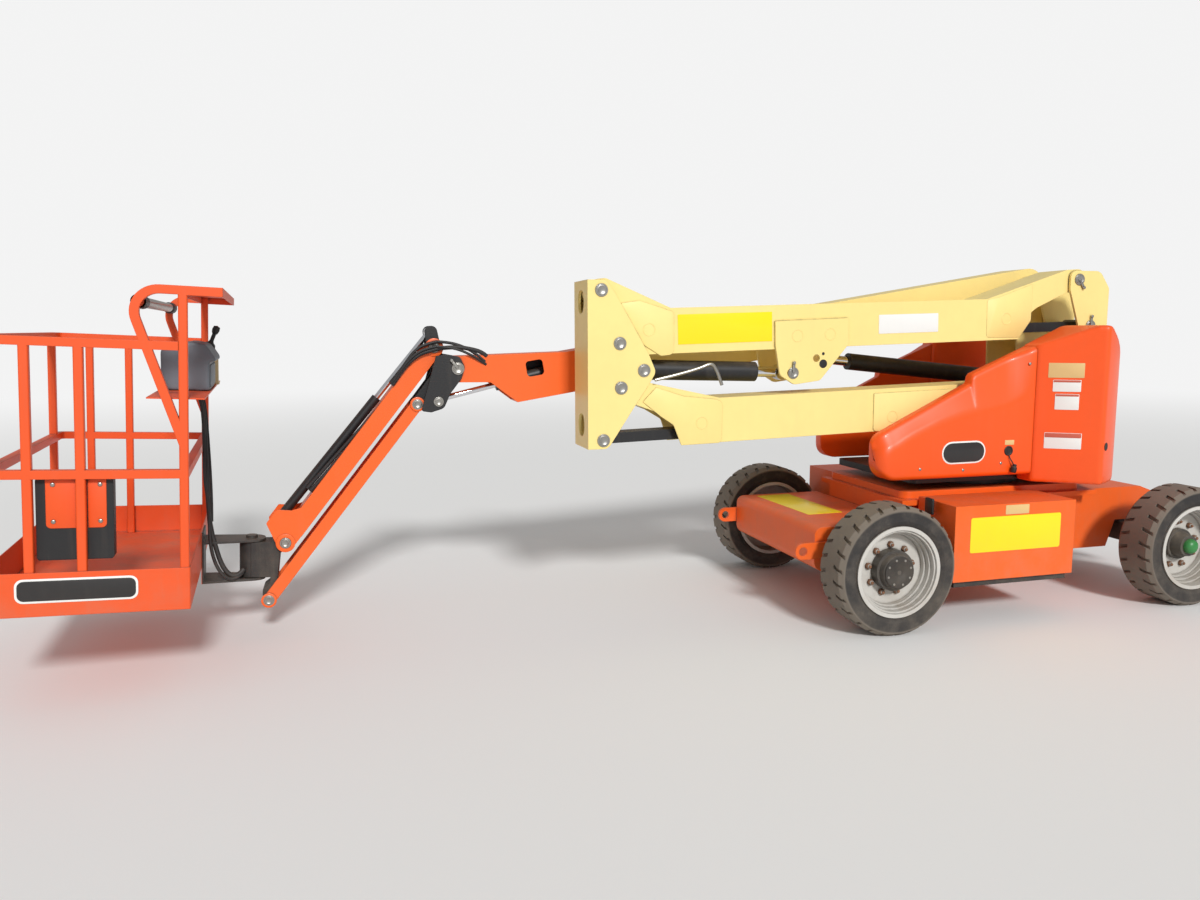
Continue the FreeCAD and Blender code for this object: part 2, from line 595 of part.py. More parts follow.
# Box arm of the tower: two side plates and webs, open where the link passes.
def make_tower_arms():
    half = s.tower_half - s.tower_plate - s.tower_gap
    far = s.tower_reach
    low_top, low_bottom = -s.lower_drop, -s.lower_drop - s.arm_depth
    lower = Piece("lower_arm", x=knee[0], y=s.tower_y, z=knee[1], pitch=-s.tower_tilt)
    outline = [(-66, 60, 60), (40, 66, 60), (161, 19), (566, low_top), (far - 566, low_top),
               (far - 161, 19), (far - 40, 66, 60), (far + 66, 60, 60), (far + 66, -66, 60),
               (far - 79, -92), (far - 190, -140, 40), (far - 215, low_bottom), (338, low_bottom),
               (302, -204, 30), (207, -144), (79, -92), (-66, -66, 60)]
    lower.side(-half, half, outline, circles=[(0, 0, bore), (far, 0, bore)])
    hollow = [(120, low_bottom - 60), (150, -115), (330, low_top - s.arm_wall),
              (far - 330, low_top - s.arm_wall), (far - 150, -115), (far - 120, low_bottom - 60)]
    lower.side(s.arm_wall - half, half - s.arm_wall, hollow, cut=True)

    top, bottom = -s.upper_drop, -s.upper_drop - s.arm_depth + 3
    upper = Piece("upper_arm", x=shoulder[0], y=s.tower_y, z=shoulder[1], pitch=-s.tower_tilt)
    outline = [(-56, 56, 54), (30, 62, 40), (385, top), (far - 633, top), (far - 70, 60),
               (far + 60, 64, 55), (far + 60, -64, 55), (far - 80, -78), (far - 285, -162),
               (far - 381, -230), (far - 406, bottom), (185, bottom), (185, -150), (60, -64), (-56, -56, 54)]
    upper.side(-half, half, outline, circles=[(0, 0, bore), (far, 0, bore)])
    hollow = [(130, bottom + s.arm_wall), (130, -140), (260, top - s.arm_wall - 16), (385, top - s.arm_wall),
              (far - 420, top - s.arm_wall), (far - 225, -130), (far - 225, bottom + s.arm_wall)]
    upper.side(s.arm_wall - half, half - s.arm_wall, hollow, cut=True)
    eye_x, eye_z = s.ram_eye_x, s.ram_eye_z
    plate = [(988, -190), (1440, -185), (1440, -330), (eye_x + 180, eye_z - 50, 40),
             (eye_x + 20, eye_z - 66, 40), (eye_x - 66, eye_z - 10, 40), (988, -320)]
    low = half - 0.5
    for near, away in ((-half - s.bracket_wall, -low), (low, half + s.bracket_wall)):
        upper.side(near, away, plate, circles=[(eye_x, eye_z, 22), (eye_x + 158, eye_z + 75, 21)])

    for name, place, shift in (("lower_link", knee, (s.lower_link_x, s.lower_link_z)),
                               ("upper_link", shoulder, (s.upper_link_x, s.upper_link_z))):
        link = Piece(name, x=place[0] + shift[0], y=s.tower_y, z=place[1] + shift[1],
                     pitch=-s.tower_tilt)
        link.side(-s.link_half, s.link_half, box(0, -s.link_depth / 2, far, s.link_depth / 2))
        for x in (0, far):
            link.side(-s.link_half, s.link_half, circles=[(x, 0, s.link_boss)])
        for x in (0, far):
            link.side(-s.link_half, s.link_half, circles=[(x, 0, bore)], cut=True)


# Upright on top of the tower: tower ears on the near side, boom cheeks on the far side.
def make_crown():
    top = Piece("upper_upright", x=crown[0], y=s.tower_y, z=crown[1])
    plate = [(-62, 52, 40), (150, 52, 60), (222, -50, 40), (222, -330, 40), (30, -330, 40), (-62, -60, 30)]
    top.pair(s.tower_half, s.tower_plate, plate)
    pins = [(0, 0), (s.upper_link_x, s.upper_link_z)]
    reach = s.tower_half + s.pin_proud
    top.side(-reach, reach, circles=[(x, z, s.pin_radius) for x, z in pins])
    shift = s.boom_y - s.tower_y
    inner = shift - s.boom_half - s.boom_gap
    outer = shift + s.boom_half + s.boom_gap
    lift_x, lift_z = s.boom_x, s.lift_foot_z
    cheek = [(s.boom_x - 70, s.boom_z + 90, 60), (s.boom_x + 90, s.boom_z + 90, 60),
             (222, s.boom_z - 80), (222, -450), (lift_x + 70, lift_z - 66, 60),
             (lift_x - 66, lift_z - 66, 60), (lift_x - 66, lift_z + 90), (s.boom_x - 80, s.boom_z - 100)]
    for low in (inner - s.tower_plate, outer):
        top.side(low, low + s.tower_plate, cheek)
    top.side(s.tower_half - s.tower_plate, inner, box(90, -300, 222, -60, 20))
    top.side(inner - 1, outer + 1, box(170, -560, 186, -90))
    pins = [(s.boom_x, s.boom_z), (lift_x, lift_z)]
    top.side(inner - s.tower_plate - s.pin_proud, outer + s.tower_plate + s.pin_proud,
             circles=[(x, z, s.pin_radius) for x, z in pins])


def make_boom():
    half = s.boom_half
    boom = Piece("main_boom", x=boom_pin[0], y=s.boom_y, z=boom_pin[1], pitch=-s.boom_tilt)
    low, high, tip, tail = s.boom_low, s.boom_high, s.boom_tip, s.boom_tail
    outline = [(-tip, low), (tail, low, 110), (tail, high, 110), (-tip, high)]
    boom.side(-half, half, outline)
    wall = s.boom_wall
    boom.side(wall - half, half - wall, box(-tip - 10, low + wall, -tail - 20, high - wall), cut=True)
    inner = half - wall
    pad = s.fly_gap - s.seat
    boom.front(-tip, s.pad_length - tip, box(-inner, low + wall, inner, high - wall),
               box(pad - inner, low + wall + pad, inner - pad, high - wall - pad))
    boom.side(-half - 1, half + 1, circles=[(0, 0, bore)], cut=True)
    eye_x, eye_z = -s.lift_eye_x, s.lift_eye_z
    root = low + wall / 2
    lug = [(eye_x - 120, root), (eye_x - 60, eye_z - 40, 40), (eye_x + 60, eye_z - 40, 40),
           (eye_x + 150, root)]
    lug_inner = s.eye_half + 8
    for near in (-lug_inner - s.lift_wall, lug_inner):
        boom.side(near, near + s.lift_wall, lug, circles=[(eye_x, eye_z, 18)])

    fly = Piece("fly_boom", x=boom_pin[0], y=s.boom_y, z=boom_pin[1], pitch=-s.boom_tilt)
    gap = wall + s.fly_gap
    half = half - gap
    low, high = low + gap, high - gap
    head_x, head_z, neck = -s.head_x, s.head_z, s.neck_half
    mouth, step = head_x + s.mouth_reach, head_x + s.step_reach
    outline = [(head_x - neck, head_z - neck, neck - 2), (head_x + 165, low + 137), (mouth, low),
               (-s.fly_heel, low), (-s.fly_heel, high), (step, high),
               (head_x - 10, head_z + neck + 2, 40), (head_x - neck, head_z + neck - 10, 40)]
    fly.side(-half, half, outline)
    fly.front(-s.fly_heel - s.pad_length, -s.fly_heel,
              box(-half - pad, low - pad, half + pad, high + pad))
    inner = half - s.fly_wall
    hollow = [(mouth, low - 40), (mouth, low + s.fly_wall),
              (-s.fly_heel + 10, low + s.fly_wall), (-s.fly_heel + 10, high - s.fly_wall),
              (step, high - s.fly_wall), (head_x + 70, head_z + neck - 18),
              (head_x + 70, head_z - neck + 12), (head_x + 150, head_z - neck + 12),
              (head_x + 150, low - 40)]
    fly.side(-inner, inner, hollow, cut=True)
    fly.side(-half - 1, half + 1, circles=[(head_x, head_z, bore)], cut=True)
    hatch = head_x + s.hatch_reach
    fly.pair(half, s.fly_wall + 1, box(hatch, s.hatch_low, hatch + s.hatch_length, s.hatch_high, 20), cut=True)
    fly.side(-inner, inner, circles=[(head_x + s.level_reach, s.level_z, 20)])


def make_head():
    top = Piece("boom_head", x=head[0], y=s.boom_y, z=head[1])
    jaw = [(-52, 76, 20), (12, 64, 30), (38, 7, 30), (18, -55), (-46, -138), (-80, -215, 40),
           (-150, -236, 20), (-203, -228, 12), (-117, 70)]
    top.pair(s.jaw_half, s.jaw_wall, jaw)
    jib_x, jib_z = s.jib_x, s.jib_z
    link = (jib_x + s.jib_link_x, jib_z + s.jib_link_z)
    ram = (jib_x + s.jib_ram_x, jib_z + s.jib_ram_z)
    ear = [(ram[0] - 33, ram[1] + 33, 32), (ram[0] + 33, ram[1] + 33, 32), (-74, 66), (-150, -186),
           (-120, -238, 20), (link[0] + 10, link[1] - 33, 30), (link[0] - 33, link[1] - 33, 32),
           (link[0] - 33, link[1] + 10, 20), (-128, -20, 20), (jib_x - 36, jib_z - 20)]
    top.pair(s.ear_half, s.ear_wall, ear)
    web = [(-88, 60), (-73, 64), (-158, -222), (-173, -218)]
    top.side(-s.jaw_half, s.jaw_half, web)
    reach = s.jaw_half + s.pin_proud
    top.side(-reach, reach, circles=[(0, 0, s.pin_radius)])
    reach = s.jib_half + s.pin_proud
    top.side(-reach, reach, circles=[(jib_x, jib_z, s.jib_pin), (link[0], link[1], s.jib_pin)])


def make_jib():
    pitch = 180 - s.jib_droop
    # Local +X runs from the boom head down the jib, so local +Z is under the arm.
    arm = Piece("jib_arm", x=jib_top[0], y=s.boom_y, z=jib_top[1], pitch=pitch)
    half, depth, far = s.jib_half, s.jib_depth / 2, s.jib_reach
    arm.side(-half, half, box(s.jib_end, -depth, far - 75, depth))
    wall = s.jib_wall
    arm.side(wall - half, half - wall,
             box(s.jib_end - 5, wall - depth, far - 60, depth - wall), cut=True)
    lug = [(-s.jib_boss, -36, 34), (40, -depth), (s.jib_end + 60, -depth), (s.jib_end + 60, depth),
           (60, depth), (-s.jib_boss, 36, 34)]
    arm.pair(half, wall, lug)
    ram_x, ram_z = far - s.jib_ram_along, -s.jib_ram_up
    wedge = [(far - 200, depth), (far - 200, -depth), (ram_x - 70, ram_z + 20), (ram_x - 30, ram_z - 44, 10),
             (ram_x + 60, ram_z - 44, 10), (far + 45, -14, 30), (far + 45, depth - 2, 40)]
    arm.pair(half, wall, wedge)
    arm.pair(half + 1, wall + 2, circles=[(0, 0, jib_bore), (far, 0, jib_bore)], cut=True)
    arm.side(-half, half, circles=[(ram_x, ram_z, 16)])

    link = Piece("jib_link", x=jib_top[0] + s.jib_link_x, y=s.boom_y, z=jib_top[1] + s.jib_link_z,
                 pitch=pitch)
    depth = s.jib_link_depth / 2
    ends = [(-depth, -depth, 30), (far + depth, -depth, 30), (far + depth, depth, 30), (-depth, depth, 30)]
    link.pair(s.jib_link_half, 12, ends, circles=[(0, 0, jib_bore), (far, 0, jib_bore)])
    link.side(-s.jib_link_half, s.jib_link_half, box(90, depth - 8, far - 130, depth))


# Place of a world offset from the jib's foot pin, seen in the tilted support's own axes.
def on_support(across, up):
    tilt_cos, tilt_sin = cosine(s.platform_tilt), sine(s.platform_tilt)
    return across * tilt_cos - up * tilt_sin, across * tilt_sin + up * tilt_cos


def make_support():
    support = Piece("platform_support", x=jib_foot[0], y=s.boom_y, z=jib_foot[1],
                    pitch=s.platform_tilt)
    post, level = on_support(s.rotator_x - jib_foot[0], s.platform_low - jib_foot[1])
    low, high = level + s.rotator_low, level + s.rotator_high
    link_x, link_z = on_support(s.jib_link_x, s.jib_link_z)
    clear = post + s.yoke_clear
    web = [(post, low), (clear, low), (clear, link_z + 90, 20), (link_x - 34, link_z + 60, 30),
           (link_x - 34, link_z - 34, 32), (link_x + 34, link_z - 34, 32), (link_x + 34, link_z + 20),
           (-30, -60), (40, -20, 30), (38, 40, 36), (-40, 40, 30), (clear, high), (post, high)]
    support.side(-s.support_half, s.support_half, web)
    support.plan(low, high, circles=[(post, 0, s.rotator_radius)])
    hole = s.rotator_pin + s.pin_fit
    support.plan(low - 1, high + 1, circles=[(post, 0, hole)], cut=True)
    reach = s.jib_half + s.pin_proud
    support.side(-reach, reach, circles=[(0, 0, s.jib_pin), (link_x, link_z, s.jib_pin)])


# Barrel on its foot pin and rod with an open eye, both lying along the line to the eye.
def make_cylinder(name, foot, eye, y, size, start, pin):
    radius, rod, length, eye_radius = size
    run = (eye[0] - foot[0], eye[1] - foot[1])
    pitch, reach = aim(*run), span(*run)
    barrel = Piece(name + "_barrel", x=foot[0], y=y, z=foot[1], pitch=pitch)
    barrel.front(pin + 2, length, circles=[(0, 0, radius)])
    barrel.side(-s.eye_half, s.eye_half, circles=[(0, 0, eye_radius)])
    barrel.side(-s.eye_half - 1, s.eye_half + 1, circles=[(0, 0, pin + s.pin_fit)], cut=True)
    barrel.front(eye_radius + 6, length + 1, circles=[(0, 0, rod + s.rod_fit)], cut=True)
    shaft = Piece(name + "_rod", x=foot[0], y=y, z=foot[1], pitch=pitch)
    shaft.front(start, reach, circles=[(0, 0, rod)])
    shaft.side(-s.eye_half, s.eye_half, circles=[(reach, 0, eye_radius)])
    shaft.side(-s.eye_half - 1, s.eye_half + 1, circles=[(reach, 0, pin + 1)], cut=True)


def make_cylinders():
    tilt_cos, tilt_sin = cosine(s.tower_tilt), sine(s.tower_tilt)
    foot = (knee[0] + s.ram_foot_x, knee[1] + s.ram_foot_z)
    eye = (shoulder[0] + s.ram_eye_x * tilt_cos - s.ram_eye_z * tilt_sin,
           shoulder[1] + s.ram_eye_x * tilt_sin + s.ram_eye_z * tilt_cos)
    size = (s.tower_barrel, s.tower_rod, s.tower_barrel_length, s.tower_eye)
    make_cylinder("tower", foot, eye, s.tower_y, size, 70, s.pin_radius)
    foot = (boom_pin[0], crown[1] + s.lift_foot_z)
    eye = on_boom(s.lift_eye_x, s.lift_eye_z)
    size = (s.lift_barrel, s.lift_rod, s.lift_barrel_length, s.lift_eye)
    make_cylinder("lift", foot, eye, s.boom_y, size, 70, s.pin_radius)
    foot = on_boom(s.head_x - s.level_reach, s.level_z)
    eye = (head[0] + s.level_pin_x, head[1] + s.level_pin_z)
    size = (s.level_barrel, s.level_rod, s.level_barrel_length, s.level_eye)
    make_cylinder("level", foot, eye, s.boom_y, size, 340, 20)
    along = s.jib_reach - s.jib_ram_along
    foot = (jib_top[0] - along * jib_cos - s.jib_ram_up * jib_sin,
            jib_top[1] - along * jib_sin + s.jib_ram_up * jib_cos)
    eye = (jib_top[0] + s.jib_ram_x, jib_top[1] + s.jib_ram_z)
    size = (s.jib_barrel, s.jib_rod, s.jib_barrel_length, s.jib_eye)
    make_cylinder("jib", foot, eye, s.boom_y, size, 200, 16)


# Plan outline of the platform, a given distance inside its kick plates.
def deck(inset):
    back, front = s.platform_back + inset, s.platform_front - inset
    near, far = s.platform_near + inset, s.platform_far - inset
    return [(back, near, s.platform_round - inset), (front, near, s.corner_round - inset / 2),
            (front, far, s.corner_round - inset / 2), (back, far, s.platform_round - inset)]


# The platform's own axes start on the rotator's axis at the floor's underside.
def make_platform():
    place = dict(x=s.rotator_x, y=s.boom_y, z=s.platform_low, pitch=s.platform_tilt,
                 turn=s.platform_turn)
    back, front = s.platform_back, s.platform_front
    near, far = s.platform_near, s.platform_far
    wall = s.kick_wall
    base = Piece("platform_base", **place)
    base.plan(0, s.floor_high, deck(0))
    base.plan(s.floor_high - 1, s.kick_high, deck(0), deck(wall))
    base.plan(-1, s.floor_high - wall, box(back + 50, near + 50, front - 50, far - 50), cut=True)
    low_yoke = s.rotator_low - s.yoke_gap - s.yoke_wall
    high_yoke = s.rotator_high + s.yoke_gap
    half = s.yoke_half
    base.front(front, front + s.yoke_wall, box(-half, low_yoke, half, s.kick_high))
    for low in (low_yoke, high_yoke):
        base.plan(low, low + s.yoke_wall, [(front, -half), (s.yoke_round, 30 - half, s.yoke_round - 5),
                                           (s.yoke_round, half - 30, s.yoke_round - 5), (front, half)])
    base.plan(low_yoke, high_yoke + s.yoke_wall + 14, circles=[(0, 0, s.rotator_pin)])
    make_rails(Piece("platform_rails", **place), back + wall, front - wall, near + wall, far - wall)

    console = Piece("control_console", **place)
    low, lid = s.shelf_high, s.lid_low
    lip = s.console_front + s.lid_reach
    console.side(s.console_near, s.console_far,
                 [(s.console_back, low), (s.console_front, low), (s.console_front, lid),
                  (lip, lid), (lip, lid + 16), (lip - 45, s.lid_high - 10, 30),
                  (lip - 120, s.lid_high, 60), (s.console_back, s.lid_high - 30, 40)])
    papers = Piece("document_box", **place)
    depth = near + wall + s.rail_size + s.seat
    papers.side(depth, depth + s.papers_depth,
                box(s.papers_back, s.papers_low, s.papers_front, s.papers_high, 15))


# Square tubes: rails, posts and the two hoops, with a visor and a shelf at the boom end.
def make_rails(rails, back, front, near, far):
    tube = s.rail_size
    post = front - tube
    rails.plan(s.hoop_top - s.visor_depth, s.hoop_top, box(post, near, front + s.visor_reach, far))
    rails.plan(s.hoop_top - s.visor_depth - 1, s.hoop_top - s.kick_wall,
               box(post + s.kick_wall, near + s.kick_wall, front + s.visor_reach - s.kick_wall,
                   far - s.kick_wall), cut=True)
    rails.plan(s.shelf_high - s.shelf_wall, s.shelf_high,
               box(s.shelf_back, near + tube, s.shelf_front, far - tube))
    bend = s.platform_round - s.kick_wall
    rails.plan(s.rail_mid - tube, s.rail_mid,
               [(back, near, bend), (front, near, 6), (front, far, 6), (back, far, bend)],
               [(back + tube, near + tube, bend - tube), (post, near + tube),
                (post, far - tube), (back + tube, far - tube, bend - tube)])
    rails.plan(s.rail_top - tube, s.rail_top,
               [(post, near), (back, near, bend), (back, far, bend), (post, far),
                (post, far - tube), (back + tube, far - tube, bend - tube),
                (back + tube, near + tube, bend - tube), (post, near + tube)])
    slope = s.hoop_lean / (s.hoop_top - s.hoop_foot)
    middle = post + tube / 2
    rise = s.hoop_top - s.hoop_foot
    hoop = [(middle - s.hoop_half + slope * tube, s.hoop_foot - tube),
            (middle - s.hoop_half - slope * rise, s.hoop_top, s.hoop_round + tube),
            (front, s.hoop_top), (front, s.hoop_top - tube),
            (middle + s.hoop_half - slope * (rise - tube), s.hoop_top - tube, s.hoop_round),
            (middle + s.hoop_half - slope * tube, s.hoop_foot + tube)]
    for low in (near, far - tube):
        rails.side(low, low + tube, hoop)
        for left, top in ((post, s.hoop_top), (front - s.side_post, s.rail_top),
                          (front - s.entry_post, s.rail_top)):
            rails.plan(s.floor_high, top, box(left, low, left + tube, low + tube, s.tube_round))
    for y in (near + s.end_post, (near + far - tube) / 2, far - s.end_post - tube):
        rails.plan(s.floor_high, s.rail_top, box(back, y, back + tube, y + tube, s.tube_round))
    rails.side(near + tube, far - tube, circles=[(s.bar_back, s.bar_high, s.bar_radius)])


def check_and_write():
    doc.recompute()
    faults = []
    for item in doc.Objects:
        if "Invalid" in item.State or "Error" in item.State:
            faults.append("%s %s" % (item.Name, item.State))
        if item.TypeId in ("PartDesign::Pocket", "PartDesign::Groove") and item.BaseFeature:
            if not item.Shape.Volume < item.BaseFeature.Shape.Volume - 1:
                faults.append("%s cut nothing" % item.Name)
    for piece in pieces:
        shape = piece.body.Shape
        if shape.isNull() or not shape.isValid() or not shape.Solids:
            faults.append("%s has no valid solid" % piece.name)
    if faults:
        raise RuntimeError("\n".join(faults))
    os.makedirs("parts", exist_ok=True)
    for piece in pieces:
        piece.body.Shape.exportStep("parts/%s.step" % piece.body.Label)
        print("%-18s solids %d faces %d" % (piece.name, len(piece.body.Shape.Solids),
                                            len(piece.body.Shape.Faces)))


make_chassis()
make_nose()
make_side_boxes()
make_axles()
make_knuckles()
make_wheels()
make_turntable()
make_post()
make_tower_arms()
make_crown()
make_boom()
make_head()
make_jib()
make_support()
make_cylinders()
make_platform()
check_and_write()
print("pieces", len(pieces))
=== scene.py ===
import bmesh
import bpy
import math
import random
from mathutils import Matrix, Vector


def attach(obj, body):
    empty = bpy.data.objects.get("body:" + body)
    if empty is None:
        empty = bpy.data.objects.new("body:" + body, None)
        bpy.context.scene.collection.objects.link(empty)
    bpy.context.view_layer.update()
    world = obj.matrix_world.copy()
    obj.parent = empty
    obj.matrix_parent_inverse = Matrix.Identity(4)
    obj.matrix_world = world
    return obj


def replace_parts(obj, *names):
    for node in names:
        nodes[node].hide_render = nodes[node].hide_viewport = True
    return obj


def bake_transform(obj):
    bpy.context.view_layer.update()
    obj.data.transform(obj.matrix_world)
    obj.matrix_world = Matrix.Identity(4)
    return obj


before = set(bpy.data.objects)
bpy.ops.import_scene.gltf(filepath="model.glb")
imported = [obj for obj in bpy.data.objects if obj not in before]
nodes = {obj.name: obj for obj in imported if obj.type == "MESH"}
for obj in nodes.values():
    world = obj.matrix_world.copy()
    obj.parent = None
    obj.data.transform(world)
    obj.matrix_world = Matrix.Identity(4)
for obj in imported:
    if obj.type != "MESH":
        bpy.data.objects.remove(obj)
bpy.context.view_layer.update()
random.seed(7)
print("frame loaded,", len(nodes), "nodes")


# Shader node helpers. A colour is written as sRGB 0-255 and turned to linear here.
def paintColour(red, green, blue):
    def linear(value):
        value = value / 255
        return value / 12.92 if value <= 0.04045 else ((value + 0.055) / 1.055) ** 2.4
    return (linear(red), linear(green), linear(blue), 1.0)


def addNode(tree, kind, **settings):
    node = tree.nodes.new(kind)
    for name, value in settings.items():
        if hasattr(node, name):
            setattr(node, name, value)
        else:
            node.inputs[name].default_value = value
    return node


def math2(tree, operation, first, second=None, clamp=False):
    node = tree.nodes.new("ShaderNodeMath")
    node.operation = operation
    node.use_clamp = clamp
    for socket, value in zip(node.inputs, (first, second)):
        if value is None:
            continue
        if isinstance(value, bpy.types.NodeSocket):
            tree.links.new(value, socket)
        else:
            socket.default_value = value
    return node.outputs[0]


def mixColour(tree, factor, first, second, blend="MIX"):
    node = tree.nodes.new("ShaderNodeMix")
    node.data_type = "RGBA"
    node.blend_type = blend
    for socket, value in ((node.inputs[0], factor), (node.inputs[6], first), (node.inputs[7], second)):
        if isinstance(value, bpy.types.NodeSocket):
            tree.links.new(value, socket)
        else:
            socket.default_value = value
    return node.outputs[2]


def smoothStep(tree, value, low, high):
    node = tree.nodes.new("ShaderNodeMapRange")
    node.interpolation_type = "SMOOTHSTEP"
    tree.links.new(value, node.inputs["Value"])
    node.inputs["From Min"].default_value = low
    node.inputs["From Max"].default_value = high
    return node.outputs[0]


def makeGroup(name, inputs, outputs):
    tree = bpy.data.node_groups.new(name, "ShaderNodeTree")
    for socketName, kind, value in inputs:
        socket = tree.interface.new_socket(socketName, in_out="INPUT", socket_type=kind)
        socket.default_value = value
    for socketName, kind in outputs:
        tree.interface.new_socket(socketName, in_out="OUTPUT", socket_type=kind)
    return tree, tree.nodes.new("NodeGroupInput"), tree.nodes.new("NodeGroupOutput")


def placeGroup(tree, group, values):
    node = tree.nodes.new("ShaderNodeGroup")
    node.node_tree = group
    for name, value in values.items():
        if isinstance(value, bpy.types.NodeSocket):
            tree.links.new(value, node.inputs[name])
        else:
            node.inputs[name].default_value = value
    return node


def noiseIn(tree, scale, detail=3.0, rough=0.55, stretch=None):
    where = addNode(tree, "ShaderNodeTexCoord").outputs["Object"]
    if stretch:
        shift = addNode(tree, "ShaderNodeMapping")
        shift.inputs["Scale"].default_value = stretch
        tree.links.new(where, shift.inputs["Vector"])
        where = shift.outputs[0]
    noise = addNode(tree, "ShaderNodeTexNoise")
    noise.inputs["Detail"].default_value = detail
    noise.inputs["Roughness"].default_value = rough
    tree.links.new(where, noise.inputs["Vector"])
    if isinstance(scale, bpy.types.NodeSocket):
        tree.links.new(scale, noise.inputs["Scale"])
    else:
        noise.inputs["Scale"].default_value = scale
    return noise.outputs["Fac"]


# Rounded look of sheared and cut edges, and the bare line that wears along them; on the cream paint that line is a
# darker painted shade along the plate edges.
def makeSoftEdges():
    tree, given, out = makeGroup("softEdges", [("Radius", "NodeSocketFloat", 0.004),
                                               ("Wear", "NodeSocketFloat", 0.3)],
                                 [("Normal", "NodeSocketVector"), ("Mask", "NodeSocketFloat")])
    bevel = addNode(tree, "ShaderNodeBevel", samples=4)
    tree.links.new(given.outputs["Radius"], bevel.inputs["Radius"])
    dot = addNode(tree, "ShaderNodeVectorMath", operation="DOT_PRODUCT")
    tree.links.new(bevel.outputs[0], dot.inputs[0])
    tree.links.new(addNode(tree, "ShaderNodeNewGeometry").outputs["Normal"], dot.inputs[1])
    edge = smoothStep(tree, math2(tree, "SUBTRACT", 1.0, dot.outputs["Value"]), 0.04, 0.28)
    patchy = smoothStep(tree, noiseIn(tree, 38.0, 4.0, 0.65), 0.45, 0.68)
    wornAndShaded = math2(tree, "MULTIPLY", math2(tree, "MULTIPLY", edge, patchy), given.outputs["Wear"], True)
    tree.links.new(bevel.outputs[0], out.inputs["Normal"])
    tree.links.new(wornAndShaded, out.inputs["Mask"])
    return tree


# Painted shade that darkens the creases where two faces meet, in a brown grime colour.
def makeCreviceShade():
    tree, given, out = makeGroup("creviceShade", [("Reach", "NodeSocketFloat", 0.02),
                                              ("Amount", "NodeSocketFloat", 0.5)],
                                 [("Mask", "NodeSocketFloat")])
    shade = addNode(tree, "ShaderNodeAmbientOcclusion", samples=6)
    tree.links.new(given.outputs["Reach"], shade.inputs["Distance"])
    closed = smoothStep(tree, math2(tree, "SUBTRACT", 1.0, shade.outputs["AO"]), 0.12, 0.62)
    patchy = math2(tree, "ADD", smoothStep(tree, noiseIn(tree, 17.0, 4.0, 0.6), 0.3, 0.7), 0.55)
    mask = math2(tree, "MULTIPLY", math2(tree, "MULTIPLY", closed, patchy), given.outputs["Amount"], True)
    tree.links.new(mask, out.inputs["Mask"])
    return tree


# Dust that lies on upward faces, in streaks down the sides and thickest near the ground.
def makeDust():
    tree, given, out = makeGroup("dust", [("Colour", "NodeSocketColor", (1, 1, 1, 1)),
                                          ("Dust Colour", "NodeSocketColor", (0.35, 0.29, 0.23, 1)),
                                          ("Roughness", "NodeSocketFloat", 0.4),
                                          ("Amount", "NodeSocketFloat", 0.3)],
                                 [("Colour", "NodeSocketColor"), ("Roughness", "NodeSocketFloat")])
    facing = addNode(tree, "ShaderNodeSeparateXYZ")
    tree.links.new(addNode(tree, "ShaderNodeNewGeometry").outputs["Normal"], facing.inputs[0])
    upward = smoothStep(tree, facing.outputs["Z"], 0.25, 0.95)
    place = addNode(tree, "ShaderNodeSeparateXYZ")
    tree.links.new(addNode(tree, "ShaderNodeTexCoord").outputs["Object"], place.inputs[0])
    low = smoothStep(tree, math2(tree, "MULTIPLY", place.outputs["Z"], -1.0), -0.85, -0.05)
    clouds = smoothStep(tree, noiseIn(tree, 5.0, 6.0, 0.7), 0.35, 0.75)
    streaks = smoothStep(tree, noiseIn(tree, 1.0, 4.0, 0.6, (22.0, 22.0, 1.6)), 0.48, 0.8)
    upward = math2(tree, "MULTIPLY", upward, math2(tree, "ADD", clouds, 0.35))
    low = math2(tree, "MULTIPLY", low, math2(tree, "ADD", clouds, 0.25))
    total = math2(tree, "ADD", math2(tree, "ADD", math2(tree, "MULTIPLY", upward, 0.7), low),
                  math2(tree, "MULTIPLY", streaks, 0.22))
    total = math2(tree, "MULTIPLY", total, given.outputs["Amount"], True)
    colour = mixColour(tree, total, given.outputs["Colour"], given.outputs["Dust Colour"])
    rough = addNode(tree, "ShaderNodeMix", data_type="FLOAT")
    tree.links.new(total, rough.inputs[0])
    tree.links.new(given.outputs["Roughness"], rough.inputs[2])
    rough.inputs[3].default_value = 0.85
    tree.links.new(colour, out.inputs["Colour"])
    tree.links.new(rough.outputs[0], out.inputs["Roughness"])
    return tree


# Slow drift of tone over a painted or moulded face.
def makeTone():
    tree, given, out = makeGroup("tone", [("Colour", "NodeSocketColor", (1, 1, 1, 1)),
                                          ("Variation", "NodeSocketFloat", 0.1)],
                                 [("Colour", "NodeSocketColor")])
    drift = noiseIn(tree, 1.6, 3.0, 0.5)
    fine = noiseIn(tree, 14.0, 4.0, 0.6)
    both = math2(tree, "ADD", math2(tree, "MULTIPLY", drift, 0.65), math2(tree, "MULTIPLY", fine, 0.35))
    depth = math2(tree, "MULTIPLY", smoothStep(tree, both, 0.3, 0.7), given.outputs["Variation"])
    darker = mixColour(tree, 1.0, given.outputs["Colour"], (0.55, 0.5, 0.48, 1), "MULTIPLY")
    tree.links.new(mixColour(tree, depth, given.outputs["Colour"], darker), out.inputs["Colour"])
    return tree


# Height of a fine skin: orange peel in paint, grain in a moulding or a casting.
def makeGrain():
    tree, given, out = makeGroup("grain", [("Scale", "NodeSocketFloat", 300.0)],
                                 [("Height", "NodeSocketFloat")])
    tree.links.new(noiseIn(tree, given.outputs["Scale"], 2.0, 0.5), out.inputs["Height"])
    return tree


# Distance from the nearest wheel centre, which tells a tyre's tread from its dark side wall.
wheelCentre = {"along": 1.0, "up": 0.354, "wallEnd": 0.322, "treadStart": 0.336}


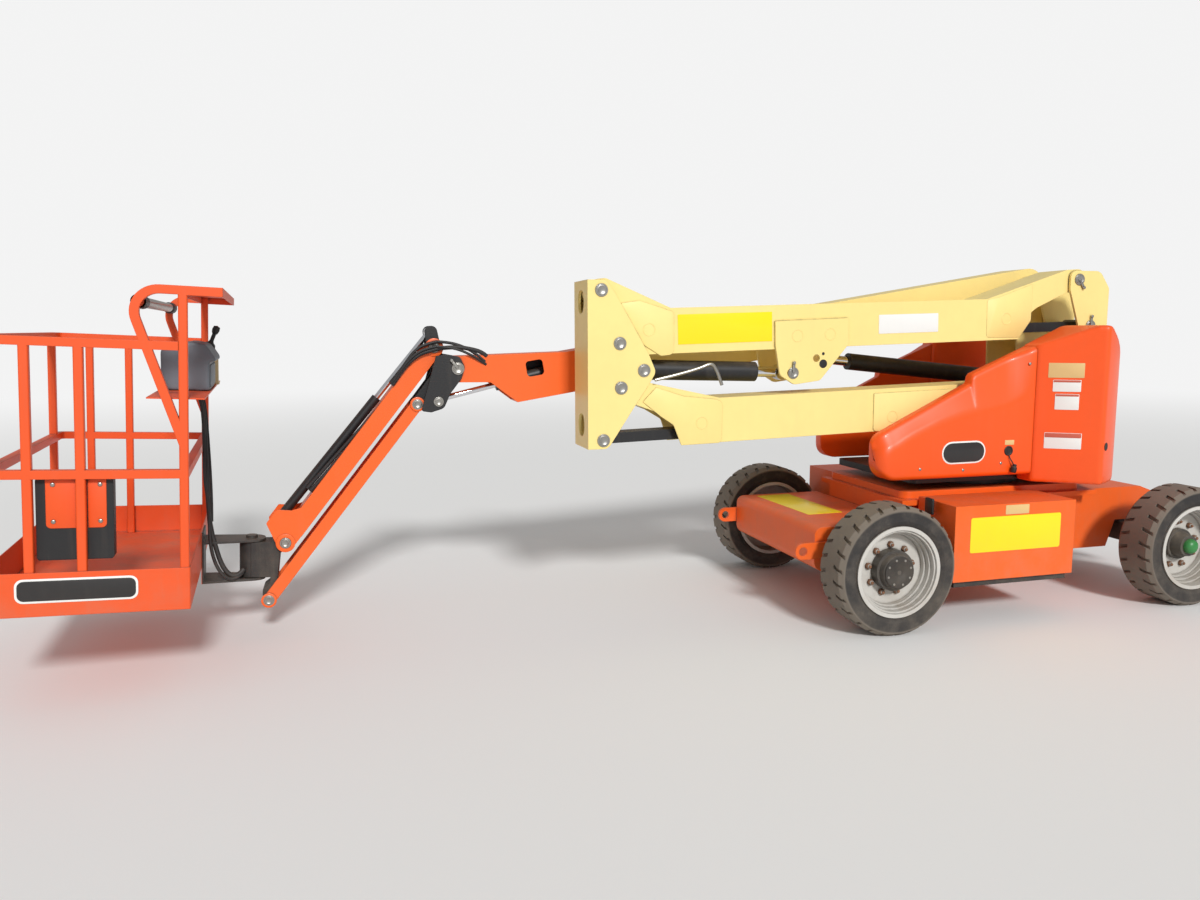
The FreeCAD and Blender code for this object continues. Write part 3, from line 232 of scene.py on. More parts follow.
def makeTyreBands():
    tree, given, out = makeGroup("tyreBands", [("Wall", "NodeSocketColor", (0.02, 0.02, 0.02, 1)),
                                               ("Tread", "NodeSocketColor", (0.2, 0.17, 0.14, 1))],
                                 [("Colour", "NodeSocketColor"), ("Rings", "NodeSocketFloat")])
    place = addNode(tree, "ShaderNodeSeparateXYZ")
    tree.links.new(addNode(tree, "ShaderNodeTexCoord").outputs["Object"], place.inputs[0])
    x = math2(tree, "SUBTRACT", math2(tree, "ABSOLUTE", place.outputs["X"]), wheelCentre["along"])
    z = math2(tree, "SUBTRACT", place.outputs["Z"], wheelCentre["up"])
    square = math2(tree, "ADD", math2(tree, "MULTIPLY", x, x), math2(tree, "MULTIPLY", z, z))
    radius = math2(tree, "SQRT", square)
    band = smoothStep(tree, radius, wheelCentre["wallEnd"], wheelCentre["treadStart"])
    blotch = math2(tree, "MULTIPLY", smoothStep(tree, noiseIn(tree, 9.0, 5.0, 0.7), 0.42, 0.75), 0.3)
    scuffed = mixColour(tree, blotch, given.outputs["Wall"], given.outputs["Tread"])
    tree.links.new(mixColour(tree, band, scuffed, given.outputs["Tread"]), out.inputs["Colour"])
    wave = math2(tree, "SINE", math2(tree, "MULTIPLY", radius, 420.0))
    tree.links.new(math2(tree, "MULTIPLY", wave, 0.5), out.inputs["Rings"])
    return tree


softEdges, dust, tone, grain = makeSoftEdges(), makeDust(), makeTone(), makeGrain()
tyreBands, creviceShade = makeTyreBands(), makeCreviceShade()


def finishMaterial(name, look):
    material = bpy.data.materials.new(name)
    material.use_nodes = True
    tree = material.node_tree
    shader = tree.nodes["Principled BSDF"]
    edges = placeGroup(tree, softEdges, {"Radius": look.get("edge", 0.003), "Wear": look.get("wear", 0.25)})
    colour = look["colour"]
    if "tread" in look:
        bands = placeGroup(tree, tyreBands, {"Wall": look["colour"], "Tread": look["tread"]})
        colour = bands.outputs["Colour"]
    if "zone" in look:
        direction, limit, second = look["zone"]
        along = addNode(tree, "ShaderNodeVectorMath", operation="DOT_PRODUCT")
        tree.links.new(addNode(tree, "ShaderNodeTexCoord").outputs["Object"], along.inputs[0])
        along.inputs[1].default_value = direction
        past = math2(tree, "GREATER_THAN", along.outputs["Value"], limit)
        colour = mixColour(tree, past, colour, second)
    toned = placeGroup(tree, tone, {"Colour": colour, "Variation": look.get("variation", 0.12)})
    bare = look.get("bare", paintColour(120, 112, 104))
    wornAndShaded = mixColour(tree, edges.outputs["Mask"], toned.outputs["Colour"], bare)
    # Painted shade: the crevice group darkens creases by their ambient occlusion.
    shadeInCrevices = placeGroup(tree, creviceShade, {"Reach": look.get("reach", 0.016), "Amount": look.get("shadeInCrevices", 0.55)})
    wornAndShaded = mixColour(tree, shadeInCrevices.outputs["Mask"], wornAndShaded, look.get("grimeColour", paintColour(58, 46, 38)))
    dusty = placeGroup(tree, dust, {"Colour": wornAndShaded, "Roughness": look["roughness"],
                                    "Amount": look.get("dust", 0.2),
                                    "Dust Colour": look.get("dustColour", paintColour(150, 136, 118))})
    tree.links.new(dusty.outputs["Colour"], shader.inputs["Base Color"])
    tree.links.new(dusty.outputs["Roughness"], shader.inputs["Roughness"])
    skin = placeGroup(tree, grain, {"Scale": look.get("grainScale", 260.0)})
    bump = addNode(tree, "ShaderNodeBump")
    bump.inputs["Strength"].default_value = look.get("grain", 0.05)
    bump.inputs["Distance"].default_value = 0.002
    tree.links.new(skin.outputs["Height"], bump.inputs["Height"])
    tree.links.new(edges.outputs["Normal"], bump.inputs["Normal"])
    tree.links.new(bump.outputs["Normal"], shader.inputs["Normal"])
    shader.inputs["Metallic"].default_value = look.get("metallic", 0.0)
    shader.inputs["Coat Weight"].default_value = look.get("coat", 0.0)
    shader.inputs["Coat Roughness"].default_value = 0.12
    return material


looks = {
    "hoodPaint": {"shadeInCrevices": 0.25, "colour": paintColour(248, 86, 6), "roughness": 0.42, "coat": 0.12, "dust": 0.1,
                  "edge": 0.012, "wear": 0.1},
    "chassisPaint": {"colour": paintColour(246, 100, 16), "roughness": 0.46, "coat": 0.08, "dust": 0.25,
                     "edge": 0.004, "wear": 0.3},
    "boxPaint": {"colour": paintColour(246, 100, 16), "roughness": 0.46, "coat": 0.08, "dust": 0.25,
                 "edge": 0.004, "wear": 0.3, "zone": ((0, 0, -1), -0.2545, paintColour(32, 32, 34))},
    "boomPaint": {"colour": paintColour(244, 100, 22), "roughness": 0.44, "coat": 0.1, "dust": 0.12,
                  "edge": 0.004, "wear": 0.25},
    # The deck and base orange is a darker copy of the boom orange: painted shade for the platform, which lies in
    # shadow.
    "shadedDeckPaint": {"colour": paintColour(236, 84, 18), "roughness": 0.46, "coat": 0.08, "dust": 0.16,
                  "edge": 0.004, "wear": 0.35},
    "shadedBasePaint": {"colour": paintColour(236, 84, 18), "roughness": 0.48, "coat": 0.05, "dust": 0.3,
                  "edge": 0.005, "wear": 0.5,
                  "zone": ((0.99600, 0.07489, -0.04871), -4.5646, paintColour(44, 42, 42))},
    # The cream's dark edge colour and strong edge mask are painted shade along the plate edges, not bare metal.
    "creamPaint": {"colour": paintColour(248, 224, 142), "roughness": 0.44, "coat": 0.1, "dust": 0.16,
                   "edge": 0.004, "wear": 0.45, "bare": paintColour(176, 146, 92)},
    "blackPaint": {"colour": paintColour(30, 30, 32), "roughness": 0.45, "dust": 0.3, "edge": 0.004,
                   "wear": 0.25, "bare": paintColour(95, 92, 90)},
    "blackCasting": {"colour": paintColour(27, 27, 29), "roughness": 0.55, "dust": 0.28, "edge": 0.006,
                     "grain": 0.35, "grainScale": 120.0, "wear": 0.15, "bare": paintColour(80, 78, 76)},
    "rodChrome": {"shadeInCrevices": 0.1, "colour": paintColour(226, 228, 232), "roughness": 0.1, "metallic": 1.0, "dust": 0.05,
                  "grain": 0.01, "wear": 0.0, "variation": 0.03},
    "hubPaint": {"colour": paintColour(58, 57, 56), "roughness": 0.5, "dust": 0.35, "edge": 0.004,
                 "wear": 0.3, "bare": paintColour(120, 116, 110)},
    "rimPaint": {"colour": paintColour(206, 204, 198), "roughness": 0.45, "dust": 0.4, "edge": 0.004,
                 "wear": 0.2},
    "tyreRubber": {"colour": paintColour(44, 43, 44), "tread": paintColour(124, 115, 104), "roughness": 0.85,
                   "dust": 0.22, "edge": 0.004, "dustColour": paintColour(140, 128, 112), "grain": 0.5,
                   "grainScale": 90.0, "wear": 0.35, "bare": paintColour(158, 152, 142), "variation": 0.35},
    "zincSteel": {"colour": paintColour(168, 166, 160), "roughness": 0.35, "metallic": 0.9, "dust": 0.2,
                  "wear": 0.0},
    "greyPlastic": {"colour": paintColour(104, 112, 120), "roughness": 0.5, "dust": 0.15, "edge": 0.006,
                    "grain": 0.3, "grainScale": 420.0, "wear": 0.0},
    "blackPlastic": {"colour": paintColour(24, 24, 26), "roughness": 0.5, "dust": 0.22, "edge": 0.005,
                     "grain": 0.3, "grainScale": 420.0, "wear": 0.0},
    "batteryCase": {"colour": paintColour(42, 42, 46), "roughness": 0.6, "dust": 0.3, "grain": 0.2,
                    "wear": 0.0},
    "hoseRubber": {"colour": paintColour(34, 34, 36), "roughness": 0.55, "dust": 0.25, "grain": 0.25,
                   "grainScale": 500.0, "wear": 0.0},
    "rustySteel": {"colour": paintColour(150, 104, 76), "roughness": 0.6, "metallic": 0.5, "dust": 0.3,
                   "variation": 0.6, "wear": 0.2},
    "greenCap": {"colour": paintColour(40, 132, 62), "roughness": 0.35, "dust": 0.12, "wear": 0.0},
    "creamPlastic": {"colour": paintColour(226, 208, 160), "roughness": 0.5, "dust": 0.12, "wear": 0.0},
    "signYellow": {"shadeInCrevices": 0.1, "colour": paintColour(255, 226, 0), "roughness": 0.35, "coat": 0.3, "dust": 0.08,
                   "edge": 0.001, "wear": 0.0, "variation": 0.05, "grain": 0.02},
    "signWhite": {"shadeInCrevices": 0.1, "colour": paintColour(238, 238, 234), "roughness": 0.35, "coat": 0.3, "dust": 0.1,
                  "edge": 0.001, "wear": 0.0, "variation": 0.05, "grain": 0.02},
    "signTan": {"shadeInCrevices": 0.1, "colour": paintColour(226, 190, 128), "roughness": 0.4, "coat": 0.2, "dust": 0.1,
                "edge": 0.001, "wear": 0.0, "variation": 0.08, "grain": 0.02},
    "signRed": {"shadeInCrevices": 0.1, "colour": paintColour(200, 96, 74), "roughness": 0.4, "coat": 0.2, "dust": 0.1,
                "edge": 0.001, "wear": 0.0, "variation": 0.08, "grain": 0.02},
    "signBlack": {"shadeInCrevices": 0.1, "colour": paintColour(34, 32, 32), "roughness": 0.35, "coat": 0.3, "dust": 0.08,
                  "edge": 0.001, "wear": 0.0, "variation": 0.05, "grain": 0.02},
}
materials = {name: finishMaterial(name, look) for name, look in looks.items()}
print("materials made,", len(materials))

finishOf = {
    "hoodPaint": ["near_hood", "far_hood", "counterweight"],
    "chassisPaint": ["chassis_frame", "drive_box", "front_lugs"],
    "boxPaint": ["near_side_box", "far_side_box"],
    "boomPaint": ["fly_boom", "jib_arm", "jib_link"],
    "shadedDeckPaint": ["platform_rails"], "shadedBasePaint": ["platform_base"],
    "creamPaint": ["upper_arm", "lower_arm", "mid_upright", "upper_upright", "main_boom"],
    # The turntable frame takes the black paint as painted shade: it stands for the dark shade under the hoods.
    "blackPaint": ["rear_axle", "front_axle", "near_knuckle", "far_knuckle", "slew_ring", "lower_link",
                   "upper_link", "tower_barrel", "lift_barrel", "level_barrel", "jib_barrel", "turntable_frame"],
    "blackCasting": ["boom_head", "platform_support"],
    "rodChrome": ["tower_rod", "lift_rod", "level_rod", "jib_rod"],
    "tyreRubber": ["rear_near_tyre", "rear_far_tyre", "front_near_tyre", "front_far_tyre"],
    "rimPaint": ["rear_near_rim", "rear_far_rim", "front_near_rim", "front_far_rim"],
    "greyPlastic": ["control_console"], "blackPlastic": ["document_box"],
    "batteryCase": ["battery_packs"],
    "hubPaint": ["rear_near_hub", "rear_far_hub", "front_near_hub", "front_far_hub"],
}
for finish, names in finishOf.items():
    for name in names:
        nodes[name].data.materials.clear()
        nodes[name].data.materials.append(materials[finish])
print("nodes dressed")


def addPiece(name, mesh, body, finish, sharp=35.0):
    piece = bpy.data.objects.new(name, mesh)
    bpy.context.scene.collection.objects.link(piece)
    mesh.materials.append(materials[finish])
    mesh.polygons.foreach_set("use_smooth", [True] * len(mesh.polygons))
    mesh.set_sharp_from_angle(angle=math.radians(sharp))
    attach(piece, body)
    return piece


def toMesh(name, shape):
    bmesh.ops.recalc_face_normals(shape, faces=shape.faces)
    mesh = bpy.data.meshes.new(name)
    shape.to_mesh(mesh)
    shape.free()
    return mesh


# Outline points with each corner (across, up, radius) rounded.
def roundOutline(corners, steps=5):
    points = []
    for i, corner in enumerate(corners):
        here = Vector(corner[:2])
        radius = corner[2] if len(corner) > 2 else 0
        if not radius:
            points.append(here)
            continue
        back = (Vector(corners[i - 1][:2]) - here).normalized()
        ahead = (Vector(corners[(i + 1) % len(corners)][:2]) - here).normalized()
        half = back.angle(ahead) / 2
        centre = here + (back + ahead).normalized() * (radius / math.sin(half))
        first, last = here + back * (radius / math.tan(half)), here + ahead * (radius / math.tan(half))
        start = math.atan2(first.y - centre.y, first.x - centre.x)
        end = math.atan2(last.y - centre.y, last.x - centre.x)
        turn = (end - start + math.pi) % (2 * math.pi) - math.pi
        for step in range(steps + 1):
            angle = start + turn * step / steps
            points.append(centre + Vector((math.cos(angle), math.sin(angle))) * radius)
    return points


def boxOutline(width, height, radius):
    w, h = width / 2, height / 2
    return roundOutline([(-w, -h, radius), (w, -h, radius), (w, h, radius), (-w, h, radius)])


# Plate of a given outline whose outer rim is softened.
def slabMesh(name, outline, depth, soft=0.001):
    shape = bmesh.new()
    face = shape.faces.new([shape.verts.new((p[0], p[1], 0.0)) for p in outline])
    lifted = bmesh.ops.extrude_face_region(shape, geom=[face])["geom"]
    bmesh.ops.translate(shape, verts=[v for v in lifted if isinstance(v, bmesh.types.BMVert)],
                        vec=(0, 0, depth))
    rim = [e for e in shape.edges if all(v.co.z > depth - 1e-6 for v in e.verts)]
    bmesh.ops.bevel(shape, geom=rim, offset=soft, segments=2, profile=0.5, affect="EDGES")
    return toMesh(name, shape)


# Turned form about local Z from (radius, height) points.
def latheMesh(name, profile, segments=32):
    shape = bmesh.new()
    rings = []
    for radius, height in profile:
        count = segments if radius > 1e-6 else 1
        rings.append([shape.verts.new((radius * math.cos(2 * math.pi * k / segments),
                                       radius * math.sin(2 * math.pi * k / segments), height))
                      for k in range(count)])
    for low, high in zip(rings, rings[1:]):
        for k in range(segments):
            after = (k + 1) % segments
            corners = [low[k % len(low)], low[after % len(low)], high[after % len(high)], high[k % len(high)]]
            corners = list(dict.fromkeys(corners))
            if len(corners) > 2:
                shape.faces.new(corners)
    return toMesh(name, shape)


# Matrix of a face: origin, direction to the right and direction up, looking at it from outside.
def onFace(origin, right=(1, 0, 0), up=(0, 0, 1)):
    right, up = Vector(right).normalized(), Vector(up).normalized()
    turn = Matrix((right, up, right.cross(up))).transposed().to_4x4()
    return Matrix.Translation(origin) @ turn


def placed(mesh, matrix):
    mesh.transform(matrix)
    return mesh


def hoseMesh(name, points, radius):
    curve = bpy.data.curves.new(name, "CURVE")
    curve.dimensions = "3D"
    spline = curve.splines.new("NURBS")
    spline.points.add(len(points) - 1)
    for point, place in zip(spline.points, points):
        point.co = (*place, 1.0)
    spline.order_u = 3
    spline.use_endpoint_u = True
    spline.resolution_u = 8
    curve.bevel_depth = radius
    curve.bevel_resolution = 3
    curve.use_fill_caps = True
    holder = bpy.data.objects.new(name, curve)
    mesh = bpy.data.meshes.new_from_object(holder)
    bpy.data.objects.remove(holder)
    return mesh


# The platform's own axes, metres from the rotator's axis at the floor's underside.
deckPlace = {"origin": (-4.330, 0.140, 0.402), "tilt": 2.8, "turn": 4.3}
deck = Matrix.Translation(deckPlace["origin"])
deck = deck @ Matrix.Rotation(math.radians(deckPlace["tilt"]), 4, "Y")
deck = deck @ Matrix.Rotation(math.radians(deckPlace["turn"]), 4, "Z")

# Blank signs: finish, body, middle of the plate, width, height, corner radius and slant in degrees.
nearSigns = {
    "arm_sign_yellow": ("signYellow", "upper_arm", (-1.808, -0.378, 1.650), 0.551, 0.160, 0.003, -1.6),
    "arm_sign_white": ("signWhite", "upper_arm", (-0.673, -0.378, 1.674), 0.389, 0.107, 0.003, -1.6),
    "box_sign_yellow": ("signYellow", "chassis", (-0.234, -0.820, 0.5135), 0.592, 0.197, 0.012, 0.0),
    "box_sign_small": ("signTan", "chassis", (-0.232, -0.820, 0.646), 0.154, 0.052, 0.004, 0.0),
    "hood_plate_small": ("signTan", "turntable", (-0.094, -0.560, 0.985), 0.063, 0.028, 0.003, 0.0),
}
tailSigns = {
    "tail_sign_tan": ("signTan", 0.191, 1.4025, 0.150, 0.085, 0.0),
    "tail_sign_white": ("signWhite", 0.1965, 1.314, 0.117, 0.068, 0.0),
    "tail_sign_white_band": ("signRed", 0.1965, 1.340, 0.113, 0.012, 0.001),
    "tail_sign_pale": ("signWhite", 0.200, 1.2215, 0.100, 0.091, 0.0),
    "tail_sign_pale_band": ("signRed", 0.200, 1.259, 0.096, 0.012, 0.001),
    "tail_sign_low": ("signWhite", 0.192, 0.9945, 0.156, 0.093, 0.0),
    "tail_sign_low_band": ("signRed", 0.192, 1.026, 0.152, 0.026, 0.001),
}
signSkin = 0.0015


def makeSigns():
    for name, (finish, body, middle, width, height, radius, slant) in nearSigns.items():
        lean = math.radians(slant)
        face = onFace(middle, (math.cos(lean), 0, -math.sin(lean)), (math.sin(lean), 0, math.cos(lean)))
        outline = boxOutline(width, height, radius)
        addPiece(name, placed(slabMesh(name, outline, signSkin, 0.0004), face), body, finish)
    seam, corner = Vector((0.066, -0.560)), Vector((0.360, -0.781))
    slope = (corner - seam).normalized()
    for name, (finish, x, z, width, height, lift) in tailSigns.items():
        y = seam.y + (x - seam.x) * slope.y / slope.x
        face = onFace((x, y, z), (slope.x, slope.y, 0))
        outline = boxOutline(width / slope.x, height, 0.004)
        mesh = slabMesh(name, outline, signSkin, 0.0004)
        addPiece(name, placed(mesh, face @ Matrix.Translation((0, 0, lift))), "turntable", finish)
    oval = onFace((-0.401, -0.560, 0.938), (1, 0, 0.01), (-0.01, 0, 1))
    for name, finish, width, height, lift in (("hood_oval_rim", "signWhite", 0.290, 0.130, 0.0),
                                              ("hood_oval", "signBlack", 0.272, 0.112, signSkin)):
        outline = boxOutline(width, height, height / 2 - 0.001)
        mesh = slabMesh(name, outline, signSkin, 0.0004)
        addPiece(name, placed(mesh, oval @ Matrix.Translation((0, 0, lift))), "turntable", finish)
    top = onFace((-1.072, 0.150, 0.546), (0.04, -1, 0), (1, 0.04, 0))
    outline = boxOutline(0.66, 0.235, 0.010)
    addPiece("drive_box_sign", placed(slabMesh("drive_box_sign", outline, signSkin, 0.0004), top),
             "chassis", "signYellow")
    strip = deck @ onFace((-0.690, -0.842, 0.112))
    for name, finish, width, height, lift in (("kick_strip", "signWhite", 0.470, 0.105, 0.0),
                                              ("kick_strip_dark", "signBlack", 0.452, 0.087, 0.001)):
        mesh = slabMesh(name, boxOutline(width, height, height * 0.3), signSkin, 0.0004)
        addPiece(name, placed(mesh, strip @ Matrix.Translation((0, 0, lift))), "platform", finish)
    print("signs made")


# Pin heads: place (x, z), plate faces on the near and far side, pin radius, body, keeper angle.
pinHeads = {
    "knee": ((-2.4057, 1.3379), (-0.400, -0.120), 0.025, "mid_upright", None),
    "knee_link": ((-2.5037, 1.0619), (-0.400, -0.120), 0.025, "mid_upright", None),
    "shoulder": ((-2.5127, 1.8469), (-0.400, -0.120), 0.025, "mid_upright", None),
    "shoulder_link": ((-2.4127, 1.5709), (-0.400, -0.120), 0.025, "mid_upright", None),
    "tower_ram_foot": ((-2.2797, 1.4279), (-0.400, -0.120), 0.025, "mid_upright", None),
    "crown": ((0.476, 1.934), (-0.400, -0.120), 0.025, "upper_upright", -60),
    "crown_link": ((0.576, 1.658), (-0.400, -0.120), 0.025, "upper_upright", 90),
    "boom": ((0.450, 1.880), (-0.010, 0.290), 0.025, "upper_upright", 30),
    "lift_foot": ((0.450, 1.313), (-0.010, 0.290), 0.025, "upper_upright", 120),
    "boom_head": ((-3.2118, 1.4353), (0.009, 0.271), 0.025, "boom_head", 128),
    "ram_eye": ((-1.405, 1.401), (-0.392, -0.128), 0.023, "upper_arm", 90),
    "level": ((-3.3208, 1.2573), (0.009, 0.271), 0.018, "boom_head", None),
    "jib_top": ((-3.3338, 1.5503), (0.050, 0.230), 0.020, "boom_head", None),
    "jib_link_top": ((-3.4318, 1.2423), (0.050, 0.230), 0.020, "boom_head", None),
    "jib_foot": ((-4.1476, 0.5161), (0.050, 0.230), 0.020, "platform_support", None),
    "jib_link_foot": ((-4.2456, 0.2081), (0.050, 0.230), 0.020, "platform_support", None),
}


def pinProfile(radius):
    return [(radius + 0.009, 0.0), (radius + 0.009, 0.004), (radius + 0.008, 0.005), (radius + 0.002, 0.005),
            (radius + 0.0012, 0.0072), (radius - 0.003, 0.0078), (radius - 0.0055, 0.0062), (0.0, 0.0062)]


def makePins():
    for name, ((x, z), faces, radius, body, keeper) in pinHeads.items():
        for hand, y, out in (("near", faces[0], -1), ("far", faces[1], 1)):
            face = onFace((x, y + out * 0.0004, z), (-out, 0, 0), (0, 0, 1))
            piece = "pin_%s_%s" % (name, hand)
            addPiece(piece, placed(latheMesh(piece, pinProfile(radius)), face), body, "zincSteel")
            if keeper is None or out > 0:
                continue
            lean = math.radians(keeper)
            reach = 0.062
            outline = roundOutline([(0, -0.007, 0.0068), (reach, -0.007, 0.0068), (reach, 0.007, 0.0068),
                                    (0, 0.007, 0.0068)], 4)
            strap = face @ Matrix.Rotation(lean, 4, "Z")
            addPiece(piece + "_strap", placed(slabMesh(piece + "_strap", outline, 0.010, 0.001), strap),
                     body, "zincSteel")
            bolt = strap @ Matrix.Translation((reach - 0.006, 0, 0.008))
            profile = [(0.010, 0.0), (0.010, 0.006), (0.008, 0.008), (0.0, 0.008)]
            addPiece(piece + "_bolt", placed(latheMesh(piece + "_bolt", profile, 6), bolt), body, "zincSteel")
    print("pins made")


# Proud doubler plates and the round plug welds on the tower arms, corners in metres on the near face.
doublers = {
    "upper_arm_front": ("upper_arm", -0.378, [(-2.40, 1.78), (-2.300, 1.794), (-2.129, 1.742, 0.01),
                        (-2.108, 1.738, 0.02), (-2.106, 1.510, 0.03), (-2.18, 1.503, 0.02),
                        (-2.290, 1.570), (-2.40, 1.70)]),
    "upper_arm_back": ("upper_arm", -0.378, [(-0.152, 1.810, 0.02), (-0.146, 1.590, 0.02), (0.085, 1.590),
                       (0.160, 1.690), (0.16, 1.905), (-0.07, 1.826)]),
    "lower_arm_front": ("lower_arm", -0.378, [(-2.28, 1.26), (-2.205, 1.335), (-2.05, 1.285), (-1.860, 1.264),
                        (-1.822, 1.250, 0.03), (-1.826, 1.024, 0.02), (-2.06, 1.018, 0.01), (-2.105, 1.130, 0.02),
                        (-2.18, 1.18)]),
    "lower_arm_back": ("lower_arm", -0.378, [(-0.885, 1.275), (-0.883, 1.056, 0.02), (-0.10, 1.078),
                       (-0.10, 1.298)]),
}
plugWelds = {"upper_arm": [(-2.247, 1.643), (-0.012, 1.700)], "lower_arm": [(-1.942, 1.137), (-0.762, 1.140)]}


def makeDoublers():
    for name, (body, y, corners) in doublers.items():
        outline = roundOutline([(c[0], c[1], c[2] if len(c) > 2 else 0) for c in corners])
        thick = 0.0016 if name == "upper_arm_back" else 0.006
        mesh = slabMesh("doubler_" + name, outline, thick, thick * 0.4)
        addPiece("doubler_" + name, placed(mesh, onFace((0, y, 0))), body, "creamPaint")
    ring = [(0.036, 0.0), (0.034, 0.0018), (0.031, 0.0018), (0.029, 0.0)]
    for body, spots in plugWelds.items():
        for i, (x, z) in enumerate(spots):
            name = "plug_weld_%s_%d" % (body, i)
            y = -0.3796 if (body, i) == ("upper_arm", 1) else -0.384
            addPiece(name, placed(latheMesh(name, ring, 40), onFace((x, y, z))), body, "creamPaint")
    for i, (x, z) in enumerate(((-1.383, 1.607), (-1.181, 1.615))):
        name = "plug_weld_bracket_%d" % i
        addPiece(name, placed(latheMesh(name, ring, 40), onFace((x, -0.392, z))), "upper_arm", "creamPaint")
    boss = [(0.050, 0.0), (0.050, 0.0032), (0.048, 0.0042), (0.030, 0.0042), (0.030, 0.0)]
    for name, body in (("jib_top", "jib_arm"), ("jib_link_top", "jib_link"), ("jib_foot", "jib_arm"),
                       ("jib_link_foot", "jib_link")):
        x, z = pinHeads[name][0]
        ring = "boss_" + name
        scale = 1.0 if body == "jib_arm" else 0.8
        profile = [(radius * scale, height) for radius, height in boss]
        addPiece(ring, placed(latheMesh(ring, profile, 36), onFace((x, 0.0496, z))), body, "boomPaint")
    print("doublers made")


# Wheel nuts, the flanged cap of the drive hubs and the green caps of the steered hubs.
wheelFacts = {"nutCircle": 0.134, "nuts": 9, "driveDisc": 0.105, "steerDisc": 0.150, "outer": 0.875}


def makeWheelParts():
    nut = [(0.0175, 0.0), (0.0175, 0.016), (0.015, 0.018), (0.009, 0.018), (0.009, 0.030), (0.0, 0.031)]
    for axle, x, depth in (("rear", -1.0, wheelFacts["driveDisc"]), ("front", 1.0, wheelFacts["steerDisc"])):
        for hand, out in (("near", -1), ("far", 1)):
            body = "%s_%s_wheel" % (axle, hand)
            face = out * (wheelFacts["outer"] - depth)
            for k in range(wheelFacts["nuts"]):
                angle = 2 * math.pi * k / wheelFacts["nuts"]
                spot = (x + wheelFacts["nutCircle"] * math.sin(angle), face,
                        0.354 + wheelFacts["nutCircle"] * math.cos(angle))
                name = "nut_%s_%s_%d" % (axle, hand, k)
                addPiece(name, placed(latheMesh(name, nut, 6), onFace(spot, (-out, 0, 0))), body, "rustySteel")
            cap = onFace((x, out * (wheelFacts["outer"] - depth + 0.100), 0.354), (-out, 0, 0))
            if axle == "rear":
                profile = [(0.086, 0.0), (0.086, 0.0025), (0.030, 0.0035), (0.026, 0.001), (0.012, 0.001),
                           (0.010, -0.004), (0.0, -0.004)]
                addPiece("hub_plate_" + hand, placed(latheMesh("hub_plate_" + hand, profile, 48), cap),
                         body, "blackPlastic")
                head = [(0.0065, 0.0), (0.0065, 0.0015), (0.0, 0.0020)]
                for k in range(8):
                    angle = 2 * math.pi * (k + 0.4) / 8
                    spot = cap @ Matrix.Translation((0.070 * math.cos(angle), 0.070 * math.sin(angle), 0.0025))
                    name = "hub_bolt_%s_%d" % (hand, k)
                    addPiece(name, placed(latheMesh(name, head, 12), spot), body, "zincSteel")
            else:
                profile = [(0.044, -0.014), (0.044, 0.0), (0.043, 0.010), (0.038, 0.021), (0.027, 0.030),
                           (0.013, 0.034), (0.0, 0.035)]
                addPiece("hub_cap_" + hand, placed(latheMesh("hub_cap_" + hand, profile, 40), cap),
                         body, "greenCap")
    print("wheel parts made")


# Lines along the steelwork: body, radius and route in metres; the boom lines and the swivel lines stay where they are
# built and ride on no body.
boomLines = {
    "line_head_upper": ("fly_boom", "boom_head", 0.0085, (-3.10, 0.034, 1.497), (-3.28, 0.034, 1.575),
                        [(-3.060, 0.034, 1.470), (-3.0871, 0.034, 1.4964), (-3.1413, 0.034, 1.5352),
                         (-3.1955, 0.034, 1.5610), (-3.2602, 0.034, 1.5780), (-3.3194, 0.034, 1.5820)]),
    "line_head_upper_tail": ("boom_head", "jib_arm", 0.0085, (-3.34, 0.034, 1.577), (-3.50, 0.034, 1.45),
                             [(-3.3194, 0.034, 1.5820), (-3.3895, 0.034, 1.5680), (-3.4437, 0.034, 1.5300),
                              (-3.4822, 0.034, 1.4800), (-3.5200, 0.036, 1.4258), (-3.5700, 0.042, 1.3650)]),
    "line_head_third": ("fly_boom", "boom_head", 0.007, (-3.10, 0.016, 1.500), (-3.28, 0.014, 1.560),
                        [(-3.055, 0.030, 1.455), (-3.0900, 0.018, 1.4800), (-3.1500, 0.014, 1.5150),
                         (-3.2100, 0.012, 1.5400), (-3.2700, 0.012, 1.5520), (-3.3250, 0.014, 1.5560)]),
    "line_head_third_tail": ("boom_head", "jib_arm", 0.007, (-3.34, 0.014, 1.550), (-3.50, 0.02, 1.43),
                             [(-3.3250, 0.014, 1.5560), (-3.3900, 0.014, 1.5440), (-3.4500, 0.016, 1.5080),
                              (-3.4950, 0.020, 1.4600), (-3.5300, 0.026, 1.4100), (-3.5720, 0.036, 1.3560)]),
    "line_head_lower": ("fly_boom", "boom_head", 0.012, (-3.09, 0.020, 1.53), (-3.28, 0.020, 1.54),
                        [(-3.050, 0.036, 1.500), (-3.0753, 0.034, 1.5236), (-3.141, 0.030, 1.5420),
                         (-3.2226, 0.028, 1.5540), (-3.3041, 0.028, 1.5460)]),
    "line_head_lower_tail": ("boom_head", "jib_arm", 0.012, (-3.32, 0.028, 1.536), (-3.50, 0.028, 1.43),
                             [(-3.3041, 0.028, 1.5460), (-3.3849, 0.028, 1.5300), (-3.439, 0.030, 1.5000),
                              (-3.4771, 0.034, 1.4660), (-3.5155, 0.038, 1.4203), (-3.5650, 0.044, 1.3500)]),
}
